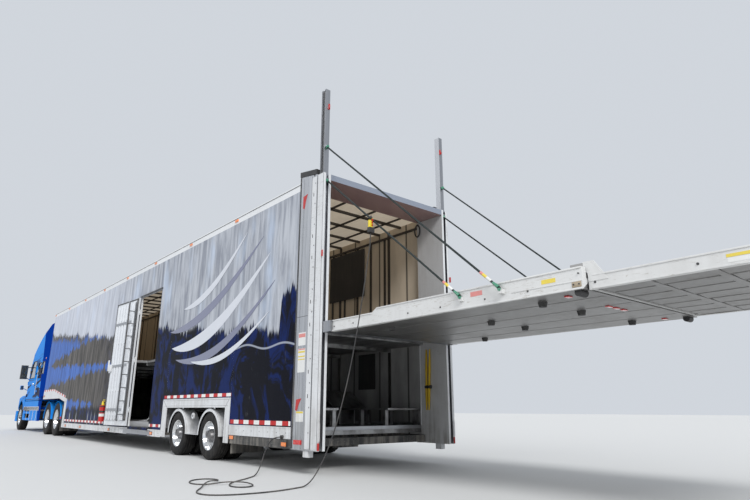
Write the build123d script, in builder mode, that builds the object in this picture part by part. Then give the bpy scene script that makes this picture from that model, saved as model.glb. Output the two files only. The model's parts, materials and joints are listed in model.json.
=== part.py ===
from build123d import *
import math
import os

os.makedirs("parts", exist_ok=True)

# Car transporter: an enclosed two-level trailer with a folding tail lift, coupled to a three-axle tractor.
# Millimetres, +Z up. The front faces -Y and +X is the driver's side.
# A station is a length measured forward from the rear edge of the trailer's side panels.

# Clearances
SEAT = 0.3
RUN = 6
PIN_GAP = 1

# Door hinges: three knuckles on a pin, the middle one on the door
BARREL_RADIUS = 9
HINGE_PIN = 5
HINGE_HALF = 60
KNUCKLE_HALF = 20
HINGE_STRAP = 60
HINGE_LEAF = 5

# Trailer body
HALF_WIDTH = 1295
WALL = 40
ROOF_TOP = 4110
ROOF_SKIN = 20
ROOF_RAIL = 130
NOSE = 16150
NOSE_RADIUS = 160
DROP = 12850
KNEE = 13600
KNEE_LOW = 1010
NECK_UNDER = 1130
NECK_RAIL = 180
BELLY_EDGE = 285
REAR_EDGE = 420
POST_SIZE = (60, 15)
BOW_FIRST = 530
BOW_PITCH = 610
BOW_COUNT = 25
BOW_SIZE = (40, 40)
POST_FIRST = 850
POST_PITCH = 1500
POST_COUNT = 11
INNER = HALF_WIDTH - WALL
ROOF_UNDER = ROOF_TOP - ROOF_SKIN
WALL_TOP = ROOF_TOP - ROOF_RAIL
NECK_TOP = NECK_UNDER + NECK_RAIL

# Wheel arch of the trailer
ARCH_BACK = 1840
ARCH_FRONT = 4640
ARCH_TOP = 840
ARCH_INNER = (1995, 4500)
ARCH_OUTER = (1835, 4720)
ARCH_BAND_TOP = 995
ARCH_LEG = 300
WELL_TOP = 1060
ARCH_PROUD = 12
WELL_PLATE = 20

# Floors
FLOOR_UNDER = 460
FLOOR = 100
DECK_UNDER = 1850
DECK = 50
TRACK = (480, 1180)
TRACK_PLATE = 30
TRACK_TOP = 830
FLOOR_TOP = FLOOR_UNDER + FLOOR
DECK_TOP = DECK_UNDER + DECK

# Side door of the trailer, and its ladder
DOOR_BACK = 5450
DOOR_FRONT = 6750
DOOR_SILL = 450
DOOR_HEAD = 3340
DOOR_PIVOT_OUT = 10
DOOR_HINGES = (800, 1900, 3000)
DOOR_OPEN = 176
LADDER_DEPTH = 180
LADDER_BAR = 30
LADDER_FROM_HINGE = 110
RUNG_PITCH = 290
RUNG_COUNT = 9
DECK_NOTCH = 1000

# Rear corner posts, their mast guides and the header
POST_BACK = -440
GUIDE_BACK = -600
POST_INNER = 1165
POST_FOOT = 300
POST_TOP = 4200
POST_TOP_BACK = 4120
GUIDE_TOP = 4100
CAP = 80
GUIDE_WALL = 14
GUIDE_LIP = 40
HEADER_UNDER = 4005
HEADER_TOP = 4095

# Tail lift
MAST = (80, 104)
MAST_FOOT = 1780
MAST_TOP = 5480
MAST_CENTRE = 1230
LIFT_TRAVEL = 1700
FOLD_STATION = -720
PIN_RADIUS = 25
PLATFORM_HALF = 1200
PLATFORM_END = -4350
PLATFORM_DEPTH = 100
RAIL_WIDTH = 70
RAIL_RISE = 100
RAIL_RISE_STATION = -1570
OUTER_HALF = 1120
OUTER_END = -6700
OUTER_RAIL = 130
OUTER_SKIN = 12
OUTER_PIVOT_RISE = 120
RIB_PITCH = 260
CABLE_RADIUS = 10
UPPER_CABLE = (1242, 4530, -3520)
LOWER_CABLE = (1216, 4000, -3000)

# Trailer running gear
TRAILER_TYRE = 385
TRAILER_TYRE_WIDTH = 250
TRAILER_AXLES = (2600, 3950)
AXLE_RADIUS = 60
AXLE_DROP = 145
FENDER_GAP = 45
FENDER_PLATE = 8

# Tractor
BUMPER_FACE = 21900
STEER_AXLE = 20650
DRIVE_AXLES = (14000, 15300)
TRACTOR_TYRE = 500
TRACTOR_TYRE_WIDTH = 280
KINGPIN = 15240
KINGPIN_RADIUS = 25.4
KINGPIN_LENGTH = 84
RAIL_OUTER = 430
RAIL_THICK = 80
RAIL_UNDER = 720
RAIL_TOP = 980
FRAME_BACK = 13350
FRAME_FRONT = 21600
CAB_BACK = 16950
CAB_FRONT = 20000
CAB_HALF = 1190
CAB_FLOOR = 1120
CAB_WALL = 45
CAB_CORNER = 260
CAB_DOOR_BACK = 18600
CAB_DOOR_FRONT = 19800
CAB_DOOR_PIVOT_OUT = 10
CAB_HINGES = (1330, 1800)
EXTENDER_BACK = 16450
HOOD_BACK = 20020
HOOD_NOSE = 21840
HOOD_UNDER = 780
HOOD_SKIN = 30
HOOD_PIVOT = (21862, 758)
HOOD_PIN = 12
HOOD_ARM = 30
HOOD_LUG = (386, 410)
ARCH_RADIUS = 620
BUMPER_UNDER = 330
BUMPER_TOP = 735
BUMPER_SKIN = 50
KNUCKLE_OFFSET = 905
TRACTOR_RIM = (286, 262)
TRAILER_RIM = (228, 204)

CENTRE_STATION = (BUMPER_FACE + OUTER_END) / 2


def y_at(station):
    """The Y of a station, so that the whole vehicle is centred on the origin."""
    return CENTRE_STATION - station


def block(x0, x1, s0, s1, z0, z1, mode=Mode.ADD):
    """A box between two widths, two stations and two heights."""
    with Locations(((x0 + x1) / 2, y_at((s0 + s1) / 2), (z0 + z1) / 2)):
        Box(abs(x1 - x0), abs(s1 - s0), abs(z1 - z0), mode=mode)


def pair(x0, x1, s0, s1, z0, z1, mode=Mode.ADD):
    """The same box on both sides of the vehicle."""
    block(x0, x1, s0, s1, z0, z1, mode)
    block(-x1, -x0, s0, s1, z0, z1, mode)


def side_shape(points, x0, x1, mode=Mode.ADD, inset=0):
    """A side outline of (station, height) points, as thick as x0 to x1, its edge moved in by inset."""
    with BuildSketch(Plane.YZ.offset(x0)) as outline:
        with BuildLine():
            Polyline(*[(y_at(s), z) for s, z in points], close=True)
        make_face()
        if inset:
            offset(amount=-inset, kind=Kind.INTERSECTION, mode=Mode.REPLACE)
    extrude(outline.sketch, amount=x1 - x0, mode=mode)


def side_pair(points, x0, x1, mode=Mode.ADD):
    """The same side outline on both sides of the vehicle."""
    side_shape(points, x0, x1, mode)
    side_shape(points, -x1, -x0, mode)


def plan_shape(points, z0, z1, radius=0, inset=0, mode=Mode.ADD):
    """A plan outline of (width, station) points, with its corners rounded and its edge moved in."""
    with BuildSketch(Plane.XY.offset(z0)) as plan:
        with BuildLine():
            Polyline(*[(x, y_at(s)) for x, s in points], close=True)
        make_face()
        if radius:
            fillet(plan.vertices(), radius)
        if inset:
            offset(amount=-inset, mode=Mode.REPLACE)
    extrude(plan.sketch, amount=z1 - z0, mode=mode)


def rod(start, end, radius, mode=Mode.ADD):
    """A round bar between two (width, station, height) points."""
    p0 = Vector(start[0], y_at(start[1]), start[2])
    p1 = Vector(end[0], y_at(end[1]), end[2])
    with BuildSketch(Plane(origin=p0, z_dir=p1 - p0)) as section:
        Circle(radius)
    extrude(section.sketch, amount=(p1 - p0).length, mode=mode)


def half_round(x0, x1, station, height, radius, thick, low=0, mode=Mode.ADD):
    """A fender bent to a half circle round an axle, its ends dropping straight down by low."""
    with BuildSketch(Plane.YZ.offset(x0)) as bow:
        with Locations((y_at(station), height)):
            Circle(radius + thick)
            Circle(radius, mode=Mode.SUBTRACT)
            Rectangle(4 * radius, 2 * radius, align=(Align.CENTER, Align.MAX), mode=Mode.SUBTRACT)
        if low:
            for end in (-1, 1):
                with Locations((y_at(station) + end * (radius + thick / 2), height)):
                    Rectangle(thick, low, align=(Align.CENTER, Align.MAX))
    extrude(bow.sketch, amount=x1 - x0, mode=mode)


def fixed_knuckles(x, station, heights):
    """The upper and lower knuckle of each hinge, with the pin between them."""
    for height in heights:
        rod((x, station, height - HINGE_HALF), (x, station, height + HINGE_HALF), HINGE_PIN)
        for z0, z1 in ((-HINGE_HALF, -KNUCKLE_HALF - SEAT), (KNUCKLE_HALF + SEAT, HINGE_HALF)):
            rod((x, station, height + z0), (x, station, height + z1), BARREL_RADIUS)


def door_knuckles(x, station, heights):
    """The middle knuckle of each hinge, bored for the pin."""
    for height in heights:
        rod((x, station, height - KNUCKLE_HALF), (x, station, height + KNUCKLE_HALF), BARREL_RADIUS)
        rod((x, station, height - KNUCKLE_HALF), (x, station, height + KNUCKLE_HALF), HINGE_PIN + PIN_GAP / 2,
            Mode.SUBTRACT)


def save(piece, node):
    piece.part.label = node
    export_step(piece.part, f"parts/{node}.step")


# Side walls of the trailer, cut for the wheel arch, and for the side door on the driver's side.
ARCH_OUTLINE = [
    (ARCH_BACK, BELLY_EDGE),
    (ARCH_BACK, ARCH_TOP),
    (ARCH_FRONT, ARCH_TOP),
    (ARCH_FRONT, BELLY_EDGE),
]
WALL_OUTLINE = [
    (0, REAR_EDGE),
    (ARCH_BACK, REAR_EDGE),
    *ARCH_OUTLINE[1:],
    (DROP, BELLY_EDGE),
    (DROP, NECK_TOP + SEAT),
    (NOSE - NOSE_RADIUS, NECK_TOP + SEAT),
    (NOSE - NOSE_RADIUS, WALL_TOP),
    (0, WALL_TOP),
]
PANEL_SEAMS = (ARCH_BACK, ARCH_FRONT, DOOR_BACK, DOOR_FRONT, DROP)
for side_name, x0, x1 in (("left", INNER, HALF_WIDTH), ("right", -HALF_WIDTH, -INNER)):
    with BuildPart() as side_wall:
        side_shape(WALL_OUTLINE, x0, x1)
        for seam in PANEL_SEAMS:
            block(x0, x1, seam, seam + SEAT, 0, ROOF_TOP, Mode.SUBTRACT)
        if side_name == "left":
            block(x0, x1, DOOR_BACK, DOOR_FRONT, DOOR_SILL, DOOR_HEAD, Mode.SUBTRACT)
            fixed_knuckles(x1 + DOOR_PIVOT_OUT, DOOR_FRONT, DOOR_HINGES)
            for height in DOOR_HINGES:
                for z0, z1 in ((-HINGE_HALF, -KNUCKLE_HALF - SEAT), (KNUCKLE_HALF + SEAT, HINGE_HALF)):
                    block(x1, x1 + HINGE_LEAF, DOOR_FRONT, DOOR_FRONT + HINGE_STRAP, height + z0, height + z1)
    save(side_wall, f"side_wall_{side_name}")

# Nose wall with rounded corners, closed by a plate that joins both side walls.
NOSE_PLAN = [
    (-HALF_WIDTH, NOSE - NOSE_RADIUS - NOSE_RADIUS),
    (HALF_WIDTH, NOSE - NOSE_RADIUS - NOSE_RADIUS),
    (HALF_WIDTH, NOSE),
    (-HALF_WIDTH, NOSE),
]


def nose_shape(z0, z1, inset, mode=Mode.ADD):
    """The rounded front end of the body between two heights, its edge moved in by inset."""
    with BuildSketch(Plane.XY.offset(z0)) as plan:
        with BuildLine():
            Polyline(*[(x, y_at(s)) for x, s in NOSE_PLAN], close=True)
        make_face()
        fillet(plan.vertices().group_by(Axis.Y)[0], NOSE_RADIUS)
        if inset:
            offset(amount=-inset, mode=Mode.REPLACE)
    extrude(plan.sketch, amount=z1 - z0, mode=mode)


with BuildPart() as nose_wall:
    nose_shape(NECK_TOP + SEAT, WALL_TOP, 0)
    nose_shape(NECK_TOP, WALL_TOP + 1, WALL, mode=Mode.SUBTRACT)
    block(-HALF_WIDTH, HALF_WIDTH, 0, NOSE - NOSE_RADIUS + SEAT, 0, ROOF_TOP, Mode.SUBTRACT)
save(nose_wall, "nose_wall")

# Roof: a skin with a deep rail round its sides and nose.
with BuildPart() as roof:
    block(-HALF_WIDTH, HALF_WIDTH, 0, NOSE - NOSE_RADIUS, WALL_TOP + SEAT, ROOF_TOP)
    nose_shape(WALL_TOP + SEAT, ROOF_TOP, 0)
    block(-INNER, INNER, 0, NOSE - NOSE_RADIUS, WALL_TOP, ROOF_UNDER, Mode.SUBTRACT)
    nose_shape(WALL_TOP, ROOF_UNDER, WALL, mode=Mode.SUBTRACT)
save(roof, "roof")


def post_foot(station):
    """The height that a wall post stands on at a station."""
    if ARCH_BACK < station < ARCH_FRONT:
        return WELL_TOP
    if station > DROP - 100:
        return NECK_TOP
    return FLOOR_TOP


# Hoops: flat posts up each wall, and bows under the roof that rest on the side rails.
with BuildPart() as hoops:
    for i in range(POST_COUNT):
        station = POST_FIRST + i * POST_PITCH
        pair(INNER - POST_SIZE[1], INNER - SEAT, station - POST_SIZE[0] / 2, station + POST_SIZE[0] / 2,
             post_foot(station) + SEAT, ROOF_UNDER - BOW_SIZE[1] - SEAT)
    for i in range(BOW_COUNT):
        station = BOW_FIRST + i * BOW_PITCH
        block(-INNER + SEAT, INNER - SEAT, station - BOW_SIZE[0] / 2, station + BOW_SIZE[0] / 2,
              ROOF_UNDER - BOW_SIZE[1], ROOF_UNDER - SEAT)
save(hoops, "hoops")

# Trailer frame: gooseneck rails, its floor and cross members, the drop bulkhead and the belly rails.
NECK_SIDE = [
    (DROP, KNEE_LOW),
    (KNEE, NECK_UNDER),
    (NOSE - NOSE_RADIUS, NECK_UNDER),
    (NOSE - NOSE_RADIUS, NECK_TOP),
    (DROP, NECK_TOP),
]
NECK_RAIL_WIDTH = 100
NECK_DECK = 20
CROSS_UNDER = NECK_UNDER + 20 + SEAT
with BuildPart() as trailer_frame:
    side_pair(NECK_SIDE, HALF_WIDTH - NECK_RAIL_WIDTH, HALF_WIDTH)
    nose_shape(NECK_UNDER, NECK_TOP, 0)
    nose_shape(NECK_UNDER, NECK_TOP - NECK_DECK, NECK_RAIL_WIDTH, mode=Mode.SUBTRACT)
    block(-INNER, INNER, DROP, NOSE - 2 * NOSE_RADIUS, NECK_TOP - NECK_DECK, NECK_TOP)
    for cross in (13700, 14300, 14900, 15500, 15950):
        block(-1200, 1200, cross - 40, cross + 40, CROSS_UNDER, NECK_TOP - NECK_DECK)
    block(-INNER + SEAT, INNER - SEAT, DROP - 30, DROP, BELLY_EDGE + 15, NECK_TOP)
    pair(1100, 1240, ARCH_FRONT + 60, DROP - 30, 320, FLOOR_UNDER - SEAT)
    for cross in (5400, 6900, 8400, 9900, 11400):
        block(-1100, 1100, cross - 40, cross + 40, 340, FLOOR_UNDER - SEAT)
save(trailer_frame, "trailer_frame")

# Lower floor with boxes round the wheels and a raised runway for each row of tyres.
WELL_BACK = ARCH_BACK + 30
WELL_FRONT = ARCH_FRONT - 30
WELL_INNER = 470
RUNWAY = [
    (40, TRACK_TOP),
    (1400, TRACK_TOP),
    (1900, WELL_TOP + 70),
    (4600, WELL_TOP + 70),
    (5900, FLOOR_TOP + 40),
    (6400, FLOOR_TOP + 10),
]
RUNWAY_FEET = ((100, 800), (700, 800), (1300, 800), (5000, 912))
WELL_RESTS = (2000, 4440)
FLOOR_PANELS = ((10, WELL_BACK), (WELL_FRONT, DROP - 30))
with BuildPart() as lower_floor:
    for s0, s1 in FLOOR_PANELS:
        block(-INNER + SEAT, INNER - SEAT, s0, s1 - SEAT, FLOOR_UNDER, FLOOR_TOP)
    block(-WELL_INNER + SEAT, WELL_INNER - SEAT, WELL_BACK, WELL_FRONT - SEAT, FLOOR_UNDER, FLOOR_TOP)
    under = WELL_TOP - WELL_PLATE
    pair(WELL_INNER, INNER - SEAT, WELL_BACK, WELL_FRONT - SEAT, under, WELL_TOP)
    pair(WELL_INNER, WELL_INNER + WELL_PLATE, WELL_BACK, WELL_FRONT - SEAT, FLOOR_UNDER, under - SEAT)
    for s0 in (WELL_BACK, WELL_FRONT - SEAT - WELL_PLATE):
        pair(WELL_INNER + WELL_PLATE + SEAT, INNER - SEAT, s0, s0 + WELL_PLATE, FLOOR_UNDER, under - SEAT)
    for (s0, z0), (s1, z1) in zip(RUNWAY, RUNWAY[1:]):
        under0, under1 = z0 - TRACK_PLATE, z1 - TRACK_PLATE
        if under1 < FLOOR_TOP:
            under0 = under1 = FLOOR_TOP + SEAT
        side_pair([(s0, z0), (s1 - SEAT, z1), (s1 - SEAT, under1), (s0, under0)], *TRACK)
    for foot, top in RUNWAY_FEET:
        pair(TRACK[0], TRACK[0] + 60, foot, foot + 60, FLOOR_TOP + SEAT, top - SEAT)
        pair(TRACK[1] - 60, TRACK[1], foot, foot + 60, FLOOR_TOP + SEAT, top - SEAT)
    for rest in WELL_RESTS:
        pair(TRACK[0], TRACK[1], rest, rest + 60, WELL_TOP + SEAT, WELL_TOP + 70 - TRACK_PLATE - SEAT)
save(lower_floor, "lower_floor")

# Upper deck in panels, the middle one notched beside the side door so that the ladder has room when it is shut.
DECK_EDGE = INNER - POST_SIZE[1] - SEAT
DECK_PANELS = (
    (0, DOOR_BACK - 60, DECK_EDGE),
    (DOOR_BACK - 60, DOOR_FRONT + 60, DECK_NOTCH),
    (DOOR_FRONT + 60, NOSE - NOSE_RADIUS, DECK_EDGE),
)
BEAM_DEPTH = 60
with BuildPart() as upper_deck:
    for s0, s1, reach in DECK_PANELS:
        block(-DECK_EDGE, reach, s0, s1 - SEAT, DECK_UNDER, DECK_TOP)
    block(-POST_INNER + RUN, POST_INNER - RUN, -90, -SEAT, DECK_UNDER, DECK_TOP)
    for i in range(POST_COUNT):
        beam = POST_FIRST + i * POST_PITCH
        reach = DECK_NOTCH if DOOR_BACK - 160 < beam < DOOR_FRONT + 160 else DECK_EDGE
        block(-DECK_EDGE, reach, beam - 40, beam + 40, DECK_UNDER - BEAM_DEPTH, DECK_UNDER - SEAT)
save(upper_deck, "upper_deck")

# Rear corner posts, each with an open channel behind it that the lift's mast slides in.
MAST_FRONT = POST_BACK - 16 - RUN
MAST_BACK = MAST_FRONT - MAST[1]
MAST_INNER = MAST_CENTRE - MAST[0] / 2
MAST_OUTER = MAST_CENTRE + MAST[0] / 2
POST_SIDE = [(-SEAT, POST_FOOT), (-SEAT, POST_TOP), (POST_BACK, POST_TOP_BACK), (POST_BACK, POST_FOOT)]
with BuildPart() as corner_posts:
    side_pair(POST_SIDE, POST_INNER, HALF_WIDTH)
    pair(POST_INNER, HALF_WIDTH, GUIDE_BACK, POST_BACK, POST_FOOT, GUIDE_TOP)
    pair(POST_INNER + GUIDE_WALL, HALF_WIDTH - GUIDE_WALL, GUIDE_BACK + 12, POST_BACK - 16,
         0, POST_TOP, Mode.SUBTRACT)
    pair(POST_INNER + GUIDE_LIP, HALF_WIDTH - GUIDE_LIP, GUIDE_BACK - 1, POST_BACK - 16,
         0, POST_TOP, Mode.SUBTRACT)
save(corner_posts, "corner_posts")

CAP_SIDE = [
    (-SEAT, POST_TOP + SEAT),
    (POST_BACK + RUN, POST_TOP_BACK + 2 * SEAT + 1),
    (POST_BACK + RUN, POST_TOP_BACK + CAP),
    (-SEAT, POST_TOP + CAP),
]
with BuildPart() as post_caps:
    side_pair(CAP_SIDE, POST_INNER, HALF_WIDTH + 10)
save(post_caps, "post_caps")

# Rear header between the posts, joined to the roof.
with BuildPart() as rear_header:
    block(-POST_INNER + SEAT, POST_INNER - SEAT, GUIDE_BACK, -SEAT, HEADER_UNDER, HEADER_TOP)
save(rear_header, "rear_header")

# Mitred frame round each wheel arch.
with BuildPart() as arch_frames:
    pair(HALF_WIDTH + SEAT, HALF_WIDTH + ARCH_PROUD, *ARCH_OUTER, ARCH_LEG, ARCH_BAND_TOP)
    pair(HALF_WIDTH, HALF_WIDTH + ARCH_PROUD + 1, *ARCH_INNER, ARCH_LEG - 1, ARCH_TOP, Mode.SUBTRACT)
save(arch_frames, "arch_frames")

# Half-round fenders over the trailer's wheels, joined by a plate and hung from the wheel box.
FENDER_IN = 1035
FENDER_OUT = 1290
fender_radius = TRAILER_TYRE + FENDER_GAP
with BuildPart() as trailer_fenders:
    for x0, x1 in ((FENDER_IN, FENDER_OUT), (-FENDER_OUT, -FENDER_IN)):
        for axle in TRAILER_AXLES:
            half_round(x0, x1, axle, TRAILER_TYRE, fender_radius, FENDER_PLATE)
            mid = (x0 + x1) / 2
            block(mid - 40, mid + 40, axle - 30, axle + 30, TRAILER_TYRE + fender_radius + FENDER_PLATE / 2,
                  WELL_TOP - WELL_PLATE - SEAT)
        block(x0, x1, TRAILER_AXLES[0] + fender_radius, TRAILER_AXLES[1] - fender_radius,
              TRAILER_TYRE, TRAILER_TYRE + FENDER_PLATE)
save(trailer_fenders, "trailer_fenders")

# Trailer axles: dropped under the floor, each on a pair of trailing arms.
SPINDLE_END = 1255
with BuildPart() as trailer_axles:
    low = TRAILER_TYRE - AXLE_DROP
    for axle in TRAILER_AXLES:
        for side in (1, -1):
            rod((side * 640, axle, TRAILER_TYRE), (side * SPINDLE_END, axle, TRAILER_TYRE), AXLE_RADIUS - 5)
            with BuildSketch(Plane.YZ.offset(side * 640)):
                with Locations((y_at(axle), TRAILER_TYRE)):
                    Circle(AXLE_RADIUS)
            with BuildSketch(Plane.YZ.offset(side * 500)):
                with Locations((y_at(axle), low)):
                    Circle(AXLE_RADIUS)
            loft()
        rod((-500, axle, low), (500, axle, low), AXLE_RADIUS)
        pair(380, 450, axle, axle + 500, low - 30, low + 30)
        pair(380, 450, axle + 440, axle + 520, low - 30, FLOOR_UNDER - SEAT)
        pair(250, 450, axle - 300, axle, low - 30, low)
        for side in (1, -1):
            rod((side * 340, axle - 210, low), (side * 340, axle - 210, FLOOR_UNDER - SEAT), 80)
save(trailer_axles, "trailer_axles")

# Black rail under the rear side panels and across the tail, with the cord's socket and the mud flaps.
SOCKET_STATION = 200
SOCKET_HEIGHT = 450
SOCKET_END = 1335
with BuildPart() as rear_rail:
    pair(INNER, HALF_WIDTH, 0, ARCH_BACK - 60, POST_FOOT, REAR_EDGE - SEAT)
    pair(POST_INNER - 20, HALF_WIDTH, 0, 80, POST_FOOT, REAR_EDGE - SEAT)
    block(-POST_INNER + RUN, POST_INNER - RUN, -90, 80, POST_FOOT + 20, REAR_EDGE - SEAT)
    pair(700, INNER + 20, ARCH_BACK - 80, ARCH_BACK - 70, 150, REAR_EDGE - SEAT)
    pair(700, INNER + 20, ARCH_BACK - 110, ARCH_BACK - 60, REAR_EDGE - 60, REAR_EDGE - SEAT)
save(rear_rail, "rear_rail")

with BuildPart() as cord_socket:
    rod((HALF_WIDTH + SEAT, SOCKET_STATION, SOCKET_HEIGHT), (SOCKET_END, SOCKET_STATION, SOCKET_HEIGHT), 24)
save(cord_socket, "cord_socket")

# Coupler plate with its kingpin.
with BuildPart() as kingpin_plate:
    block(-520, 520, KINGPIN - 640, KINGPIN + 580, NECK_UNDER, NECK_UNDER + 20)
    rod((0, KINGPIN, NECK_UNDER - KINGPIN_LENGTH), (0, KINGPIN, NECK_UNDER), KINGPIN_RADIUS)
save(kingpin_plate, "kingpin_plate")

# Landing legs, wound up.
with BuildPart() as landing_legs:
    pair(880, 980, DROP + 30, DROP + 130, 480, KNEE_LOW + 5)
    pair(895, 965, DROP + 45, DROP + 115, 330, 480)
    pair(850, 1010, DROP + 20, DROP + 140, 310, 330)
    pair(850, 1010, DROP + SEAT, DROP + 30, 700, 1000)
    rod((-880, DROP + 80, 620), (880, DROP + 80, 620), 20)
save(landing_legs, "landing_legs")

# Side door of the trailer, drawn shut and turned open about its hinge, with its ladder.
DOOR_AXIS = Axis((HALF_WIDTH + DOOR_PIVOT_OUT, y_at(DOOR_FRONT), 0), (0, 0, 1))
LEAF_BACK = DOOR_BACK + RUN
LEAF_FRONT = DOOR_FRONT - RUN
with BuildPart() as shut_leaf:
    block(INNER, HALF_WIDTH, LEAF_BACK, LEAF_FRONT, DOOR_SILL + RUN, DOOR_HEAD - RUN)
    for bar in (700, 1250, 1800, 2350, 2900):
        block(INNER - 15, INNER, LEAF_BACK + 60, LEAF_FRONT - 180, bar - 30, bar + 30)
    block(INNER - 45, INNER, LEAF_BACK + 30, LEAF_BACK + 110, 1650, 1850)
    for height in DOOR_HINGES:
        block(HALF_WIDTH, HALF_WIDTH + HINGE_LEAF, DOOR_FRONT - HINGE_STRAP, DOOR_FRONT - HINGE_PIN - PIN_GAP,
              height - KNUCKLE_HALF, height + KNUCKLE_HALF)
    door_knuckles(HALF_WIDTH + DOOR_PIVOT_OUT, DOOR_FRONT, DOOR_HINGES)
side_door_part = shut_leaf.part.rotate(DOOR_AXIS, -DOOR_OPEN)
side_door_part.label = "side_door"
export_step(side_door_part, "parts/side_door.step")

with BuildPart() as shut_ladder:
    ladder_s = DOOR_FRONT - LADDER_FROM_HINGE
    near = INNER - SEAT
    far = INNER - LADDER_DEPTH
    for x0, x1 in ((near - LADDER_BAR, near), (far, far + LADDER_BAR)):
        block(x0, x1, ladder_s - LADDER_BAR / 2, ladder_s + LADDER_BAR / 2, 560, 3240)
    for i in range(RUNG_COUNT):
        height = 700 + i * RUNG_PITCH
        rod((far + LADDER_BAR / 2, ladder_s, height), (near - LADDER_BAR / 2, ladder_s, height), 11)
ladder_part = shut_ladder.part.rotate(DOOR_AXIS, -DOOR_OPEN)
ladder_part.label = "ladder"
export_step(ladder_part, "parts/ladder.step")

# Step shelf under the side door.
with BuildPart() as side_step:
    block(HALF_WIDTH + SEAT, HALF_WIDTH + 90, 5300, 7000, 380, 395)
    block(HALF_WIDTH + SEAT, HALF_WIDTH + 12, 5300, 7000, 300, 380)
save(side_step, "side_step")

# Fire extinguisher on the side panel.
with BuildPart() as extinguisher:
    rod((HALF_WIDTH + 85, 8500, 520), (HALF_WIDTH + 85, 8500, 900), 70)
    rod((HALF_WIDTH + 85, 8500, 900), (HALF_WIDTH + 85, 8500, 990), 25)
    block(HALF_WIDTH + SEAT, HALF_WIDTH + 40, 8470, 8530, 600, 640)
save(extinguisher, "extinguisher")

# Marker lamps along the roof rail, and tail lamps on the corner posts.
LAMP_FIRST = 2055
LAMP_PITCH = 1995
with BuildPart() as lamps:
    for i in range(8):
        lamp = LAMP_FIRST + i * LAMP_PITCH - (60 if i == 7 else 0)
        pair(HALF_WIDTH + SEAT, HALF_WIDTH + 14, lamp - 55, lamp + 55, 4020, 4060)
    pair(HALF_WIDTH - GUIDE_LIP + 4, HALF_WIDTH - 4, GUIDE_BACK - 14, GUIDE_BACK - SEAT, 420, 640)
save(lamps, "lamps")

# Lift frame: two masts, the cross beam behind the guides, the hinge brackets and the bridging plate.
FOLD_HEIGHT = DECK_TOP
with BuildPart() as lift_frame:
    for side in (1, -1):
        x0, x1 = sorted((side * MAST_INNER, side * MAST_OUTER))
        block(x0, x1, MAST_BACK, MAST_FRONT, MAST_FOOT, MAST_TOP)
        slot_out, slot_in = side * (MAST_OUTER + 1), side * (MAST_OUTER - 18)
        block(min(slot_out, slot_in), max(slot_out, slot_in), MAST_BACK + 28, MAST_FRONT - 28,
              MAST_FOOT - 1, MAST_TOP + 1, Mode.SUBTRACT)
        x0, x1 = sorted((side * (MAST_CENTRE - 20), side * (MAST_CENTRE + 20)))
        block(x0, x1, FOLD_STATION - 45, MAST_BACK, DECK_UNDER - 50, DECK_TOP + 45)
        for cable in (UPPER_CABLE, LOWER_CABLE):
            anchor = cable[1] + CABLE_RADIUS
            block(x0, x1, MAST_BACK - 2 * CABLE_RADIUS, MAST_BACK, anchor, anchor + 24)
        rod((side * (PLATFORM_HALF - RAIL_WIDTH + 10), FOLD_STATION, FOLD_HEIGHT),
            (side * (MAST_CENTRE + 20), FOLD_STATION, FOLD_HEIGHT), PIN_RADIUS)
    block(-MAST_CENTRE - 20, MAST_CENTRE + 20, GUIDE_BACK - 58, GUIDE_BACK - 12, DECK_UNDER - 50, DECK_TOP)
    block(-POST_INNER + 2 * RUN, POST_INNER - 2 * RUN, GUIDE_BACK - 12, -100, DECK_TOP - 20, DECK_TOP)
save(lift_frame, "lift_frame")


CABLE_END = DECK_TOP + 30


def cable_run(side, cable):
    """One stay cable from its anchor on the mast to its end above its lug on the platform's rail."""
    x, top, end = cable
    return (side * x, MAST_BACK - CABLE_RADIUS, top), (side * x, end, CABLE_END)


with BuildPart() as lift_cables:
    for side in (1, -1):
        for cable in (UPPER_CABLE, LOWER_CABLE):
            start, end = cable_run(side, cable)
            rod(start, end, CABLE_RADIUS)
save(lift_cables, "lift_cables")

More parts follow.
